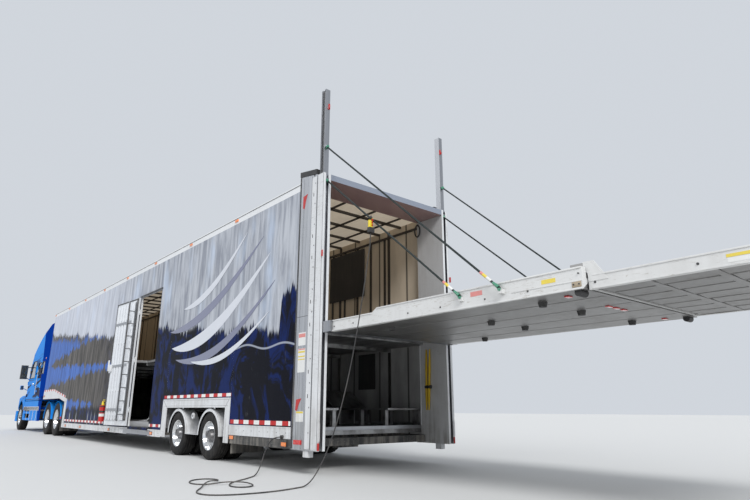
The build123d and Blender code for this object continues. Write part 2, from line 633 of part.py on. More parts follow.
# Platform: a closed slab between two side rails, hinged on the lift's pins.
OUTER_PIVOT = (PLATFORM_END - RUN, DECK_TOP + OUTER_PIVOT_RISE)
OUTER_PIN = 15
SLAB_HALF = PLATFORM_HALF - RAIL_WIDTH
RAIL_SIDE = [
    (FOLD_STATION - 10, DECK_TOP - PLATFORM_DEPTH),
    (FOLD_STATION + 30, DECK_TOP - PLATFORM_DEPTH / 2),
    (FOLD_STATION + 30, DECK_TOP + 40),
    (FOLD_STATION - 20, DECK_TOP + 50),
    (RAIL_RISE_STATION, DECK_TOP + 50),
    (RAIL_RISE_STATION - 80, DECK_TOP + RAIL_RISE),
    (PLATFORM_END, DECK_TOP + RAIL_RISE),
    (PLATFORM_END, DECK_TOP - PLATFORM_DEPTH),
]
with BuildPart() as platform:
    block(-SLAB_HALF, SLAB_HALF, PLATFORM_END, FOLD_STATION - 10, DECK_TOP - PLATFORM_DEPTH, DECK_TOP)
    side_pair(RAIL_SIDE, SLAB_HALF, PLATFORM_HALF)
    for side in (1, -1):
        rod((side * (SLAB_HALF - 20), FOLD_STATION, FOLD_HEIGHT), (side * (PLATFORM_HALF + 1), FOLD_STATION, FOLD_HEIGHT),
            PIN_RADIUS + PIN_GAP, Mode.SUBTRACT)
        x0, x1 = sorted((side * (OUTER_HALF - 60), side * (OUTER_HALF - 20)))
        block(x0, x1, PLATFORM_END, PLATFORM_END + 160, DECK_TOP, OUTER_PIVOT[1] + 30)
        block(x0, x1, OUTER_PIVOT[0] - 30, PLATFORM_END, OUTER_PIVOT[1] - 30, OUTER_PIVOT[1] + 30)
        rod((x0, *OUTER_PIVOT), (x1, *OUTER_PIVOT), OUTER_PIN + PIN_GAP, Mode.SUBTRACT)
    for x, top, end in (UPPER_CABLE, LOWER_CABLE):
        run = MAST_BACK - CABLE_RADIUS - end
        lug_top = CABLE_END - CABLE_RADIUS * run / math.hypot(run, top - CABLE_END) - SEAT
        pair(PLATFORM_HALF, x + CABLE_RADIUS, end - 25, end + 25, CABLE_END - 50, lug_top)
save(platform, "platform")

# Outer deck: side rails, a thin skin and cross ribs, hinged above the platform's end.
OUTER_START = PLATFORM_END - 2 * RUN
OUTER_UNDER = DECK_TOP - OUTER_RAIL + 30
EAR_SIDE = [
    (OUTER_START - 180, DECK_TOP - 30),
    (OUTER_START, DECK_TOP - 30),
    (OUTER_START, DECK_TOP + 40),
    (OUTER_PIVOT[0] + 30, OUTER_PIVOT[1] - 30),
    (OUTER_PIVOT[0] + 30, OUTER_PIVOT[1] + 30),
    (OUTER_START - 60, OUTER_PIVOT[1] + 30),
]
with BuildPart() as outer_deck:
    block(-OUTER_HALF, OUTER_HALF, OUTER_END, OUTER_START, DECK_TOP - OUTER_SKIN, DECK_TOP)
    pair(OUTER_HALF - 40, OUTER_HALF, OUTER_END, OUTER_START, OUTER_UNDER, DECK_TOP + 30)
    rib = OUTER_START - 20
    while rib > OUTER_END + 40:
        block(-OUTER_HALF, OUTER_HALF, rib - 40, rib, OUTER_UNDER + 20, DECK_TOP)
        rib -= RIB_PITCH
    block(-OUTER_HALF, OUTER_HALF, OUTER_END, OUTER_END + 40, OUTER_UNDER, DECK_TOP)
    side_pair(EAR_SIDE, OUTER_HALF - 15, SLAB_HALF - RUN)
    for side in (1, -1):
        rod((side * (OUTER_HALF - 60), *OUTER_PIVOT), (side * (OUTER_HALF - 10), *OUTER_PIVOT), OUTER_PIN)
save(outer_deck, "outer_deck")


# Wheels: tyres on a dished rim, as many-sided solids that stand on a flat side.
WHEEL_SIDES = 32
AXLE_BOWL = (160, 190, 80)
SHOULDER = 30
RIM_DISC = 18
HUB_RADIUS = 120


def drum(x0, x1, radius, station, height, mode=Mode.ADD):
    """A many-sided prism round an axle, with a flat side below."""
    with BuildSketch(Plane.YZ.offset(min(x0, x1))) as section:
        with Locations((y_at(station), height)):
            RegularPolygon(radius, WHEEL_SIDES, major_radius=False, rotation=180 / WHEEL_SIDES)
    extrude(section.sketch, amount=abs(x1 - x0), mode=mode)


def wheel(node, tyres, radius, width, rim, disc, hub, bore, station):
    """One wheel: its tyres by their middles, the rim's radii and disc, the hub from width to width, and the bore."""
    half = width / 2
    side = 1 if tyres[-1] > 0 else -1
    with BuildPart() as turned:
        for centre in tyres:
            with BuildPart() as tyre:
                drum(centre - half, centre + half, radius, station, radius)
                chamfer(tyre.faces().filter_by(Axis.X).edges(), length=SHOULDER)
        drum(min(tyres), max(tyres) + 1, rim[0], station, radius)
        x0, x1 = min(tyres) - half, max(tyres) + half
        drum(x0, disc - RIM_DISC / 2, rim[1], station, radius, Mode.SUBTRACT)
        drum(disc + RIM_DISC / 2, x1, rim[1], station, radius, Mode.SUBTRACT)
        drum(*[side * u for u in hub], HUB_RADIUS, station, radius)
        rod((side * (hub[0] - 1), station, radius), (side * (hub[1] + 1), station, radius), bore, Mode.SUBTRACT)
    save(turned, node)


STEER_TRACK = 1035
DRIVE_TRACK = 930
DRIVE_SPACING = 340
TRAILER_TRACK = 1010
TRAILER_SPACING = 300
TWIN_BORE = AXLE_RADIUS - 4
STEER_BORE = 42
for side_name, side in (("left", 1), ("right", -1)):
    wheel(f"steer_wheel_{side_name}", [side * STEER_TRACK], TRACTOR_TYRE, TRACTOR_TYRE_WIDTH,
          TRACTOR_RIM, side * (STEER_TRACK + 80), (STEER_TRACK + 5, STEER_TRACK + 140), STEER_BORE, STEER_AXLE)
    for place, axle in zip(("rear", "front"), DRIVE_AXLES):
        wheel(f"drive_wheel_{place}_{side_name}",
              [side * (DRIVE_TRACK - DRIVE_SPACING / 2), side * (DRIVE_TRACK + DRIVE_SPACING / 2)],
              TRACTOR_TYRE, TRACTOR_TYRE_WIDTH, TRACTOR_RIM, side * DRIVE_TRACK,
              (DRIVE_TRACK - 90, DRIVE_TRACK + 190), TWIN_BORE, axle)
    for place, axle in zip(("rear", "front"), TRAILER_AXLES):
        wheel(f"trailer_wheel_{place}_{side_name}",
              [side * (TRAILER_TRACK - TRAILER_SPACING / 2), side * (TRAILER_TRACK + TRAILER_SPACING / 2)],
              TRAILER_TYRE, TRAILER_TYRE_WIDTH, TRAILER_RIM, side * TRAILER_TRACK,
              (TRAILER_TRACK - 90, TRAILER_TRACK + 190), TWIN_BORE, axle)

# Tractor frame: two channel rails, cross members, bumper brackets and the rear mud flap bar.
with BuildPart() as tractor_frame:
    inner_face = RAIL_OUTER - RAIL_THICK
    pair(inner_face, RAIL_OUTER, FRAME_BACK, FRAME_FRONT, RAIL_UNDER, RAIL_TOP)
    pair(inner_face - 1, RAIL_OUTER - 12, FRAME_BACK - 1, FRAME_FRONT + 1, RAIL_UNDER + 12, RAIL_TOP - 12,
         Mode.SUBTRACT)
    for cross in (FRAME_BACK + 40, 14650, 16100, 17600, 19200, 21450):
        block(-RAIL_OUTER + 12, RAIL_OUTER - 12, cross - 40, cross + 40, RAIL_UNDER + 60, RAIL_TOP - 60)
    pair(inner_face, RAIL_OUTER, 21450, BUMPER_FACE - BUMPER_SKIN - SEAT, 520, RAIL_UNDER)
    pair(inner_face, RAIL_OUTER, 21450, FRAME_FRONT, RAIL_UNDER, RAIL_UNDER + 40)
    pair(inner_face, inner_face + HOOD_ARM, 21500, HOOD_PIVOT[0] + 18, BUMPER_TOP + 3, HOOD_PIVOT[1] + 20)
    for side in (1, -1):
        rod((side * inner_face, *HOOD_PIVOT), (side * HOOD_LUG[1], *HOOD_PIVOT), HOOD_PIN)
    block(-1230, 1230, FRAME_BACK - 30, FRAME_BACK, 880, 940)
    pair(700, 1230, FRAME_BACK - 20, FRAME_BACK - 10, 160, 880)
save(tractor_frame, "tractor_frame")

# Fifth wheel: a tilted-open horseshoe plate on two feet.
PLATE_TOP = NECK_UNDER - SEAT
THROAT = KINGPIN_RADIUS + PIN_GAP
with BuildPart() as fifth_wheel:
    plan_shape([(-480, KINGPIN - 500), (-480, KINGPIN + 250), (-300, KINGPIN + 450), (300, KINGPIN + 450),
                (480, KINGPIN + 250), (480, KINGPIN - 500), (200, KINGPIN - 500), (THROAT, KINGPIN - 200),
                (THROAT, KINGPIN), (-THROAT, KINGPIN), (-THROAT, KINGPIN - 200), (-200, KINGPIN - 500)],
               PLATE_TOP - 45, PLATE_TOP)
    rod((0, KINGPIN, PLATE_TOP - 50), (0, KINGPIN, PLATE_TOP + 1), THROAT, Mode.SUBTRACT)
    pair(inner_face, RAIL_OUTER, KINGPIN - 200, KINGPIN + 250, RAIL_TOP + SEAT, PLATE_TOP - 45)
save(fifth_wheel, "fifth_wheel")

# Engine and gearbox as plain blocks, on feet that rest on the rails.
ENGINE_MOUNTS = (19500, 20450, 21150)
with BuildPart() as engine:
    block(-330, 330, 20150, 21300, 740, 1560)
    block(-230, 230, 19250, 20150, 700, 1060)
    for mount in ENGINE_MOUNTS:
        block(-RAIL_OUTER, RAIL_OUTER, mount - 50, mount + 50, RAIL_TOP + SEAT, RAIL_TOP + 40)
save(engine, "engine")

# Cab and sleeper: one hollow shell from the firewall to the sleeper's back, with a raised roof.
WINDSHIELD = ((CAB_FRONT, 1880), (19450, 2800))
CAB_MOUNTS = (17150, 19000)
CAB_TOP = 3860


def cab_shape(inset, mode=Mode.ADD):
    """The cab's outside, or its inside when moved in by inset."""
    with BuildSketch(Plane.YZ.offset(-CAB_HALF + inset)) as outline:
        with BuildLine():
            Polyline((y_at(CAB_BACK), CAB_TOP), (y_at(CAB_BACK), CAB_FLOOR), (y_at(CAB_FRONT), CAB_FLOOR),
                     (y_at(CAB_FRONT), WINDSHIELD[0][1]), (y_at(WINDSHIELD[1][0]), WINDSHIELD[1][1]),
                     (y_at(WINDSHIELD[1][0]), 2880))
            ThreePointArc((y_at(WINDSHIELD[1][0]), 2880), (y_at(18600), 3350), (y_at(17450), 3730))
            Line((y_at(17450), 3730), (y_at(CAB_BACK), CAB_TOP))
        make_face()
        if inset:
            offset(amount=-inset, mode=Mode.REPLACE)
    extrude(outline.sketch, amount=2 * (CAB_HALF - inset), mode=mode)


def cab_plan(inset, mode):
    """The cab's plan, rounded at its front corners."""
    with BuildSketch(Plane.XY) as plan:
        with Locations((0, y_at((CAB_BACK + CAB_FRONT) / 2))):
            Rectangle(2 * CAB_HALF, CAB_FRONT - CAB_BACK)
        fillet(plan.vertices().group_by(Axis.Y)[0], CAB_CORNER)
        if inset:
            offset(amount=-inset, mode=Mode.REPLACE)
    extrude(plan.sketch, amount=ROOF_TOP, mode=mode)


with BuildPart() as cab_room:
    cab_shape(CAB_WALL)
    cab_plan(CAB_WALL, Mode.INTERSECT)

DOOR_OUTLINE = [
    (CAB_DOOR_BACK, 1180), (CAB_DOOR_FRONT, 1180), (CAB_DOOR_FRONT, 1900), (19390, 2700), (CAB_DOOR_BACK, 2700),
]
DOOR_WINDOW = [
    (CAB_DOOR_BACK + 90, 1960), (CAB_DOOR_FRONT - 100, 1960), (19330, 2620), (CAB_DOOR_BACK + 90, 2620),
]
SLEEPER_WINDOWS = ((17180, 17640, 2060, 2520), (17800, 18260, 2060, 2520))
GLASS = 8


def slope_point(along, deep):
    """A (station, height) point on the windshield, along its slope and that deep into it."""
    (s0, z0), (s1, z1) = WINDSHIELD
    length = math.hypot(s1 - s0, z1 - z0)
    us, uz = (s1 - s0) / length, (z1 - z0) / length
    return s0 + us * along - uz * deep, z0 + uz * along + us * deep


def slope_shape(a0, a1, d0, d1, half, mode=Mode.ADD):
    """A slab that lies in the windshield's slope."""
    points = [slope_point(a0, d0), slope_point(a1, d0), slope_point(a1, d1), slope_point(a0, d1)]
    side_shape(points, -half, half, mode)


with BuildPart() as cab_shell:
    cab_shape(0)
    cab_plan(0, Mode.INTERSECT)
    add(cab_room.part, mode=Mode.SUBTRACT)
    side_pair(DOOR_OUTLINE, CAB_HALF - CAB_WALL - 20, CAB_HALF + 1, Mode.SUBTRACT)
    slope_shape(100, 980, -60, 90, 1000, Mode.SUBTRACT)
    for s0, s1, z0, z1 in SLEEPER_WINDOWS:
        pair(CAB_HALF - CAB_WALL - 1, CAB_HALF + 1, s0, s1, z0, z1, Mode.SUBTRACT)
    pair(CAB_HALF - 30, CAB_HALF, EXTENDER_BACK, CAB_BACK, 1250, CAB_TOP)
    for mount in CAB_MOUNTS:
        pair(RAIL_OUTER - RAIL_THICK, RAIL_OUTER, mount - 60, mount + 60, RAIL_TOP + SEAT, CAB_FLOOR)
    for side in (1, -1):
        pivot = side * (CAB_HALF + CAB_DOOR_PIVOT_OUT)
        fixed_knuckles(pivot, CAB_DOOR_FRONT, CAB_HINGES)
        x0, x1 = sorted((side * (CAB_HALF - CAB_WALL), pivot))
        for height in CAB_HINGES:
            for z0, z1 in ((-HINGE_HALF, -KNUCKLE_HALF - SEAT), (KNUCKLE_HALF + SEAT, HINGE_HALF)):
                block(x0, x1, CAB_DOOR_FRONT + 4, CAB_DOOR_FRONT + 30, height + z0, height + z1)
save(cab_shell, "cab_shell")

with BuildPart() as cab_glass:
    slope_shape(100 + SEAT, 980 - SEAT, 12, 12 + GLASS, 1000 - SEAT)
    for s0, s1, z0, z1 in SLEEPER_WINDOWS:
        pair(CAB_HALF - 24, CAB_HALF - 24 + GLASS, s0 + SEAT, s1 - SEAT, z0 + SEAT, z1 - SEAT)
save(cab_glass, "cab_glass")

# Cab doors, with their mirrors, and their glass.
MIRROR_OUT = 1545
MIRROR_ARMS = ((19640, 1930, 2000), (19495, 2400, 2400))

for side_name, side in (("left", 1), ("right", -1)):
    with BuildPart() as cab_door:
        x0, x1 = sorted((side * (CAB_HALF - CAB_WALL), side * CAB_HALF))
        side_shape(DOOR_OUTLINE, x0, x1, inset=RUN)
        side_shape(DOOR_WINDOW, x0 - 1, x1 + 1, Mode.SUBTRACT)
        x0, x1 = sorted((side * (MIRROR_OUT - 230), side * MIRROR_OUT))
        block(x0, x1, 19560, 19660, 1950, 2480)
        pivot = side * (CAB_HALF + CAB_DOOR_PIVOT_OUT)
        x0, x1 = sorted((side * (CAB_HALF - 10), pivot + side * 5))
        for height in CAB_HINGES:
            block(x0, x1, CAB_DOOR_FRONT - HINGE_STRAP, CAB_DOOR_FRONT - HINGE_PIN - PIN_GAP,
                  height - KNUCKLE_HALF, height + KNUCKLE_HALF)
        door_knuckles(pivot, CAB_DOOR_FRONT, CAB_HINGES)
        for root_s, root_z, arm_z in MIRROR_ARMS:
            rod((side * (CAB_HALF - 5), root_s, root_z), (side * (MIRROR_OUT - 200), 19610, arm_z), 16)
    save(cab_door, f"cab_door_{side_name}")
    with BuildPart() as door_glass:
        x0, x1 = sorted((side * (CAB_HALF - 24), side * (CAB_HALF - 24 + GLASS)))
        side_shape(DOOR_WINDOW, x0, x1, inset=SEAT)
    save(door_glass, f"door_glass_{side_name}")

# Seats and dashboard.
with BuildPart() as seats:
    pair(300, 820, 18650, 19150, 1480, 1620)
    pair(300, 820, 18530, 18650, 1480, 2260)
    pair(420, 700, 18700, 19050, CAB_FLOOR + CAB_WALL + SEAT, 1480)
save(seats, "seats")

with BuildPart() as dashboard:
    block(-1100, 1100, 19560, 19860, 1500, 1800)
    rod((560, 19570, 1698), (560, 19300, 1804), 25)
    with BuildSketch(Plane(origin=(560, y_at(19320), 1794), z_dir=(0, 0.93, 0.36))):
        Circle(230)
        Circle(205, mode=Mode.SUBTRACT)
        Rectangle(420, 30)
    extrude(amount=22)
    pair(1000, 1100, 19700, 19800, CAB_FLOOR + CAB_WALL + SEAT, 1500)
save(dashboard, "dashboard")

# Hood with its fenders: a side outline, a plan and a cross section that meet in one rounded shell.
HOOD_SIDE = [
    (19900, 600), (19900, 1860), (20700, 1790), (21400, 1600), (21720, 1400), (HOOD_NOSE, 1180), (HOOD_NOSE, 600),
]
HOOD_PLAN = [
    (-CAB_HALF, 19900), (CAB_HALF, 19900), (CAB_HALF, 21150), (1010, 21560), (620, HOOD_NOSE), (-620, HOOD_NOSE),
    (-1010, 21560), (-CAB_HALF, 21150),
]
HOOD_CROSS = [
    (-CAB_HALF, 600), (CAB_HALF, 600), (CAB_HALF, 1230), (1050, 1330), (800, 1400), (680, 1600), (560, 1950),
    (-560, 1950), (-680, 1600), (-800, 1400), (-1050, 1330), (-CAB_HALF, 1230),
]


def hood_shape(inset):
    """The hood's outside, or its inside when moved in by inset."""
    with BuildSketch(Plane.YZ.offset(-CAB_HALF)) as side_face:
        with BuildLine():
            Polyline(*[(y_at(s), z) for s, z in HOOD_SIDE], close=True)
        make_face()
        if inset:
            offset(amount=-inset, mode=Mode.REPLACE, kind=Kind.INTERSECTION)
    extrude(side_face.sketch, amount=2 * CAB_HALF)
    with BuildSketch(Plane.XY) as plan_face:
        with BuildLine():
            Polyline(*[(x, y_at(s)) for x, s in HOOD_PLAN], close=True)
        make_face()
        if inset:
            offset(amount=-inset, mode=Mode.REPLACE, kind=Kind.INTERSECTION)
    extrude(plan_face.sketch, amount=ROOF_TOP, mode=Mode.INTERSECT)
    with BuildSketch(Plane.XZ.offset(-y_at(19800))) as cross_face:
        with BuildLine():
            Polyline(*HOOD_CROSS, close=True)
        make_face()
        if inset:
            offset(amount=-inset, mode=Mode.REPLACE, kind=Kind.INTERSECTION)
    extrude(cross_face.sketch, amount=3000, mode=Mode.INTERSECT)


with BuildPart() as hood_room:
    hood_shape(HOOD_SKIN)

HEADLAMP = (650, 1075, 21250, 21860, 960, 1160)
GRILLE = (470, 900, 1380)
HOOD_LUG_SIDE = [
    (HOOD_NOSE - HOOD_SKIN, HOOD_UNDER + 40),
    (HOOD_NOSE - 2, HOOD_UNDER + 40),
    (HOOD_PIVOT[0] + 16, HOOD_PIVOT[1] + 8),
    (HOOD_PIVOT[0] + 16, HOOD_PIVOT[1] - 16),
    (HOOD_PIVOT[0] - 16, HOOD_PIVOT[1] - 16),
    (HOOD_NOSE - HOOD_SKIN, HOOD_UNDER + 5),
]
with BuildPart() as hood:
    hood_shape(0)
    add(hood_room.part, mode=Mode.SUBTRACT)
    block(-1300, 1300, 19000, HOOD_BACK, 0, 3000, Mode.SUBTRACT)
    block(-1300, 1300, 19000, 22000, 0, HOOD_UNDER, Mode.SUBTRACT)
    rod((-1300, STEER_AXLE, TRACTOR_TYRE), (1300, STEER_AXLE, TRACTOR_TYRE), ARCH_RADIUS, Mode.SUBTRACT)
    block(-GRILLE[0], GRILLE[0], 21600, 21900, GRILLE[1], GRILLE[2], Mode.SUBTRACT)
    side_pair(HOOD_LUG_SIDE, *HOOD_LUG)
    for side in (1, -1):
        rod((side * (HOOD_LUG[0] - 1), *HOOD_PIVOT), (side * (HOOD_LUG[1] + 1), *HOOD_PIVOT), HOOD_PIN + PIN_GAP / 2,
            Mode.SUBTRACT)
    pair(HEADLAMP[0] - SEAT, HEADLAMP[1] + SEAT, HEADLAMP[2] - SEAT, HEADLAMP[3], HEADLAMP[4] - SEAT,
         HEADLAMP[5] + SEAT, Mode.SUBTRACT)
save(hood, "hood")

with BuildPart() as headlamps:
    hood_shape(0)
    add(hood_room.part, mode=Mode.SUBTRACT)
    with BuildSketch(Plane.XY.offset(HEADLAMP[4])) as lamp_plan:
        for side in (1, -1):
            with Locations((side * (HEADLAMP[0] + HEADLAMP[1]) / 2, y_at((HEADLAMP[2] + HEADLAMP[3]) / 2))):
                Rectangle(HEADLAMP[1] - HEADLAMP[0], HEADLAMP[3] - HEADLAMP[2])
    extrude(amount=HEADLAMP[5] - HEADLAMP[4], mode=Mode.INTERSECT)
save(headlamps, "headlamps")

# Grille: cross bars in a surround, set in the hood's nose.
with BuildPart() as grille:
    half, low, high = GRILLE
    block(-half + SEAT, half - SEAT, HOOD_NOSE - 45, HOOD_NOSE - 5, low + SEAT, high - SEAT)
    block(-half + 35, half - 35, HOOD_NOSE - 46, HOOD_NOSE - 4, low + 35, high - 35, Mode.SUBTRACT)
    for i in range(7):
        bar = low + 70 + i * 56
        block(-half + 30, half - 30, HOOD_NOSE - 40, HOOD_NOSE - 12, bar - 12, bar + 12)
save(grille, "grille")

# Front bumper, wrapped round the corners, with two bores for tow pins.
BUMPER_PLAN = [
    (-1190, 21260), (1190, 21260), (1190, 21520), (1010, 21780), (700, BUMPER_FACE), (-700, BUMPER_FACE),
    (-1010, 21780), (-1190, 21520),
]
TOW_BORE = 26
TOW_PIN_X = 480
with BuildPart() as bumper:
    plan_shape(BUMPER_PLAN, BUMPER_UNDER, BUMPER_TOP)
    plan_shape(BUMPER_PLAN, BUMPER_UNDER - 1, BUMPER_TOP + 1, inset=BUMPER_SKIN, mode=Mode.SUBTRACT)
    block(-1190 + BUMPER_SKIN, 1190 - BUMPER_SKIN, 21200, 21260 + BUMPER_SKIN + 1, BUMPER_UNDER - 1,
          BUMPER_TOP + 1, Mode.SUBTRACT)
    for side in (1, -1):
        rod((side * TOW_PIN_X, 21700, 470), (side * TOW_PIN_X, 22000, 470), TOW_BORE, Mode.SUBTRACT)
save(bumper, "bumper")

# Side fairings with two steps each, on brackets from the frame.
FAIRING_SIDE = [
    (CAB_BACK, 400), (19900, 400), (19950, 460), (19950, 1100), (CAB_BACK, 1100),
]
with BuildPart() as side_fairings:
    side_pair(FAIRING_SIDE, CAB_HALF - 45, CAB_HALF)
    for z0, z1 in ((480, 640), (720, 880)):
        pair(CAB_HALF - 46, CAB_HALF + 1, 18700, 19700, z0, z1, Mode.SUBTRACT)
        pair(CAB_HALF - 200, CAB_HALF - 20, 18700, 19700, z0 - 25, z0)
    for bracket in (17200, 18400, 19850):
        pair(RAIL_OUTER + SEAT, CAB_HALF - 20, bracket - 40, bracket + 40, 800, 880)
save(side_fairings, "side_fairings")

# Half-round fenders over the drive wheels.
DRIVE_FENDER = (640, 1240)
with BuildPart() as drive_fenders:
    for x0, x1 in (DRIVE_FENDER, (-DRIVE_FENDER[1], -DRIVE_FENDER[0])):
        for axle in DRIVE_AXLES:
            half_round(x0, x1, axle, TRACTOR_TYRE, TRACTOR_TYRE + FENDER_GAP, FENDER_PLATE)
        gap0 = DRIVE_AXLES[0] + TRACTOR_TYRE + FENDER_GAP
        gap1 = DRIVE_AXLES[1] - TRACTOR_TYRE - FENDER_GAP
        block(x0, x1, gap0, gap1, TRACTOR_TYRE, TRACTOR_TYRE + 60)
    for axle in (DRIVE_AXLES[0] + DRIVE_AXLES[1]) / 2,:
        pair(RAIL_OUTER + SEAT, DRIVE_FENDER[0] + 10, axle - 40, axle + 40, TRACTOR_TYRE + 10, TRACTOR_TYRE + 60)
        pair(RAIL_OUTER + SEAT, RAIL_OUTER + 40, axle - 40, axle + 40, TRACTOR_TYRE + 10, RAIL_UNDER + 100)
save(drive_fenders, "drive_fenders")

# Tractor axles: two driven, with a gear bowl each, and the steered beam.
STEER_BEAM = (400, 520)
with BuildPart() as tractor_axles:
    for axle in DRIVE_AXLES:
        rod((-1190, axle, TRACTOR_TYRE), (1190, axle, TRACTOR_TYRE), AXLE_RADIUS - 5)
        with BuildPart() as bowl:
            drum(-AXLE_BOWL[0], AXLE_BOWL[0], AXLE_BOWL[1], axle, TRACTOR_TYRE)
            chamfer(bowl.faces().filter_by(Axis.X).edges(), length=AXLE_BOWL[2])
        pair(RAIL_OUTER - 80, RAIL_OUTER, axle - 70, axle + 70, TRACTOR_TYRE, RAIL_UNDER - SEAT)
    block(-KNUCKLE_OFFSET + 30, KNUCKLE_OFFSET - 30, STEER_AXLE - 45, STEER_AXLE + 45, *STEER_BEAM)
    for side in (1, -1):
        x = side * KNUCKLE_OFFSET
        rod((x, STEER_AXLE, STEER_BEAM[0]), (x, STEER_AXLE, STEER_BEAM[1]), 50)
        rod((x, STEER_AXLE, STEER_BEAM[0] - 1), (x, STEER_AXLE, STEER_BEAM[1] + 1), PIN_RADIUS + PIN_GAP,
            Mode.SUBTRACT)
    pair(RAIL_OUTER - 80, RAIL_OUTER, STEER_AXLE - 60, STEER_AXLE + 60, STEER_BEAM[1], RAIL_UNDER - SEAT)
save(tractor_axles, "tractor_axles")

# Steering knuckles: a fork round the beam's eye, its pin and the wheel's spindle.
for side_name, side in (("left", 1), ("right", -1)):
    with BuildPart() as knuckle:
        x = side * KNUCKLE_OFFSET
        web = side * (KNUCKLE_OFFSET + 50 + RUN)
        web_out = side * (KNUCKLE_OFFSET + 50 + RUN + 30)
        for z0, z1 in ((STEER_BEAM[0] - 41, STEER_BEAM[0] - 1), (STEER_BEAM[1] + 1, STEER_BEAM[1] + 41)):
            rod((x, STEER_AXLE, z0), (x, STEER_AXLE, z1), 50)
            block(min(x, web_out), max(x, web_out), STEER_AXLE - 50, STEER_AXLE + 50, z0, z1)
        block(min(web, web_out), max(web, web_out), STEER_AXLE - 50, STEER_AXLE + 50,
              STEER_BEAM[0] - 41, STEER_BEAM[1] + 41)
        rod((x, STEER_AXLE, STEER_BEAM[0] - 41), (x, STEER_AXLE, STEER_BEAM[1] + 41), PIN_RADIUS)
        rod((web, STEER_AXLE, TRACTOR_TYRE), (side * 1165, STEER_AXLE, TRACTOR_TYRE), 41)
    save(knuckle, f"knuckle_{side_name}")

# Pendant of the lift's control, hooked on the near lower cable, and its cord.
PENDANT_STATION = -1600
PENDANT_X = 1255
PENDANT_TALL = 160
HOOK_RADIUS = 3
CORD_RADIUS = 7
CORD_SIDES = 8
cable_foot, cable_head = cable_run(1, LOWER_CABLE)[::-1]
cable_slope = (cable_head[2] - cable_foot[2]) / (cable_head[1] - cable_foot[1])
cable_height = cable_foot[2] + cable_slope * (PENDANT_STATION - cable_foot[1])
hook_height = cable_height + (CABLE_RADIUS + HOOK_RADIUS + SEAT) * math.hypot(1, cable_slope)
PENDANT_TOP = cable_height - 14
PENDANT_LOW = PENDANT_TOP - PENDANT_TALL
with BuildPart() as pendant:
    block(PENDANT_X - 30, PENDANT_X + 30, PENDANT_STATION - 20, PENDANT_STATION + 20, PENDANT_LOW, PENDANT_TOP)
    fillet(pendant.edges().filter_by(Axis.Z), 12)
    hook_x = PENDANT_X - 22
    rod((hook_x, PENDANT_STATION, PENDANT_TOP - 5), (hook_x, PENDANT_STATION, hook_height), HOOK_RADIUS)
    rod((hook_x + HOOK_RADIUS, PENDANT_STATION, hook_height),
        (LOWER_CABLE[0] - 8, PENDANT_STATION, hook_height), HOOK_RADIUS)
save(pendant, "pendant")


def cord(node, points):
    """A round tube along straight runs joined by arcs as large as the runs allow."""
    places = [Vector(x, y_at(s), z) for x, s, z in points]
    radii = []
    for before, here, after in zip(places, places[1:], places[2:]):
        turn = math.radians((here - before).get_angle(after - here))
        run = min((here - before).length, (after - here).length)
        radii.append(0.45 * run / math.tan(turn / 2))
    with BuildPart() as tube:
        with BuildLine() as route:
            FilletPolyline(*places, radius=radii)
        with BuildSketch(Plane(origin=places[0], z_dir=places[1] - places[0])) as section:
            RegularPolygon(CORD_RADIUS, CORD_SIDES)
        sweep()
    length = sum(edge.length for edge in route.edges())
    ideal = length * section.sketch.area
    print(node, "length", round(length), "radii", [round(radius) for radius in radii],
          "volume ratio", round(tube.part.volume / ideal, 4))
    save(tube, node)


# Route of the cord: width, station, height. It leaves the socket, loops on the ground and rises to the pendant.
GROUND = CORD_RADIUS + 1
CORD_GROUND = [
    (SOCKET_END + SEAT, SOCKET_STATION, SOCKET_HEIGHT),
    (1400, 200, 449),
    (1475, 192, 425),
    (1540, 175, 360),
    (1600, 150, 262),
    (1655, 118, 150),
    (1715, 75, 58),
    (1800, 10, GROUND),
    (1900, -90, GROUND),
    (2040, -215, GROUND),
    (2190, -320, GROUND),
    (2340, -435, GROUND),
    (2455, -590, GROUND),
    (2510, -740, GROUND),
    (2470, -880, GROUND),
    (2350, -910, GROUND),
    (2265, -810, GROUND + 4),
    (2290, -680, GROUND + 20),
    (2370, -590, GROUND + 24),
    (2480, -510, GROUND + 22),
    (2590, -450, GROUND + 4),
    (2700, -370, GROUND),
    (2740, -230, GROUND),
    (2700, -70, GROUND),
    (2600, 70, GROUND),
    (2465, 110, GROUND),
    (2355, 20, GROUND),
    (2350, -120, GROUND),
    (2440, -240, GROUND + 8),
    (2560, -340, GROUND + 26),
    (2690, -480, GROUND + 26),
    (2800, -650, GROUND + 4),
    (2930, -820, GROUND),
    (3010, -1010, GROUND),
    (2970, -1200, GROUND),
    (2800, -1320, GROUND),
    (2590, -1370, GROUND),
    (2390, -1385, GROUND),
    (2200, -1360, GROUND),
    (2030, -1310, GROUND),
]
CORD_RISE = [
    (2030, -1310, GROUND),
    (1894, -1270, GROUND),
    (1790, -1255, 70),
    (1705, -1265, 190),
    (1630, -1290, 350),
    (1560, -1325, 560),
    (1498, -1365, 820),
    (1445, -1408, 1110),
    (1400, -1450, 1420),
    (1362, -1490, 1740),
    (1330, -1526, 2050),
    (1302, -1560, 2350),
    (1278, -1586, 2630),
    (PENDANT_X, PENDANT_STATION, 2800),
    (PENDANT_X, PENDANT_STATION, PENDANT_LOW - SEAT),
]
cord("cord_ground", CORD_GROUND)
cord("cord_rise", CORD_RISE)
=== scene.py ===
"""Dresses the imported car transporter: paint and metal finishes, side artwork, tread, lamps, tape and rigging."""
import json
import math

import bmesh
import bpy
from bpy.props import FloatProperty, FloatVectorProperty, IntProperty, PointerProperty
from mathutils import Matrix, Vector


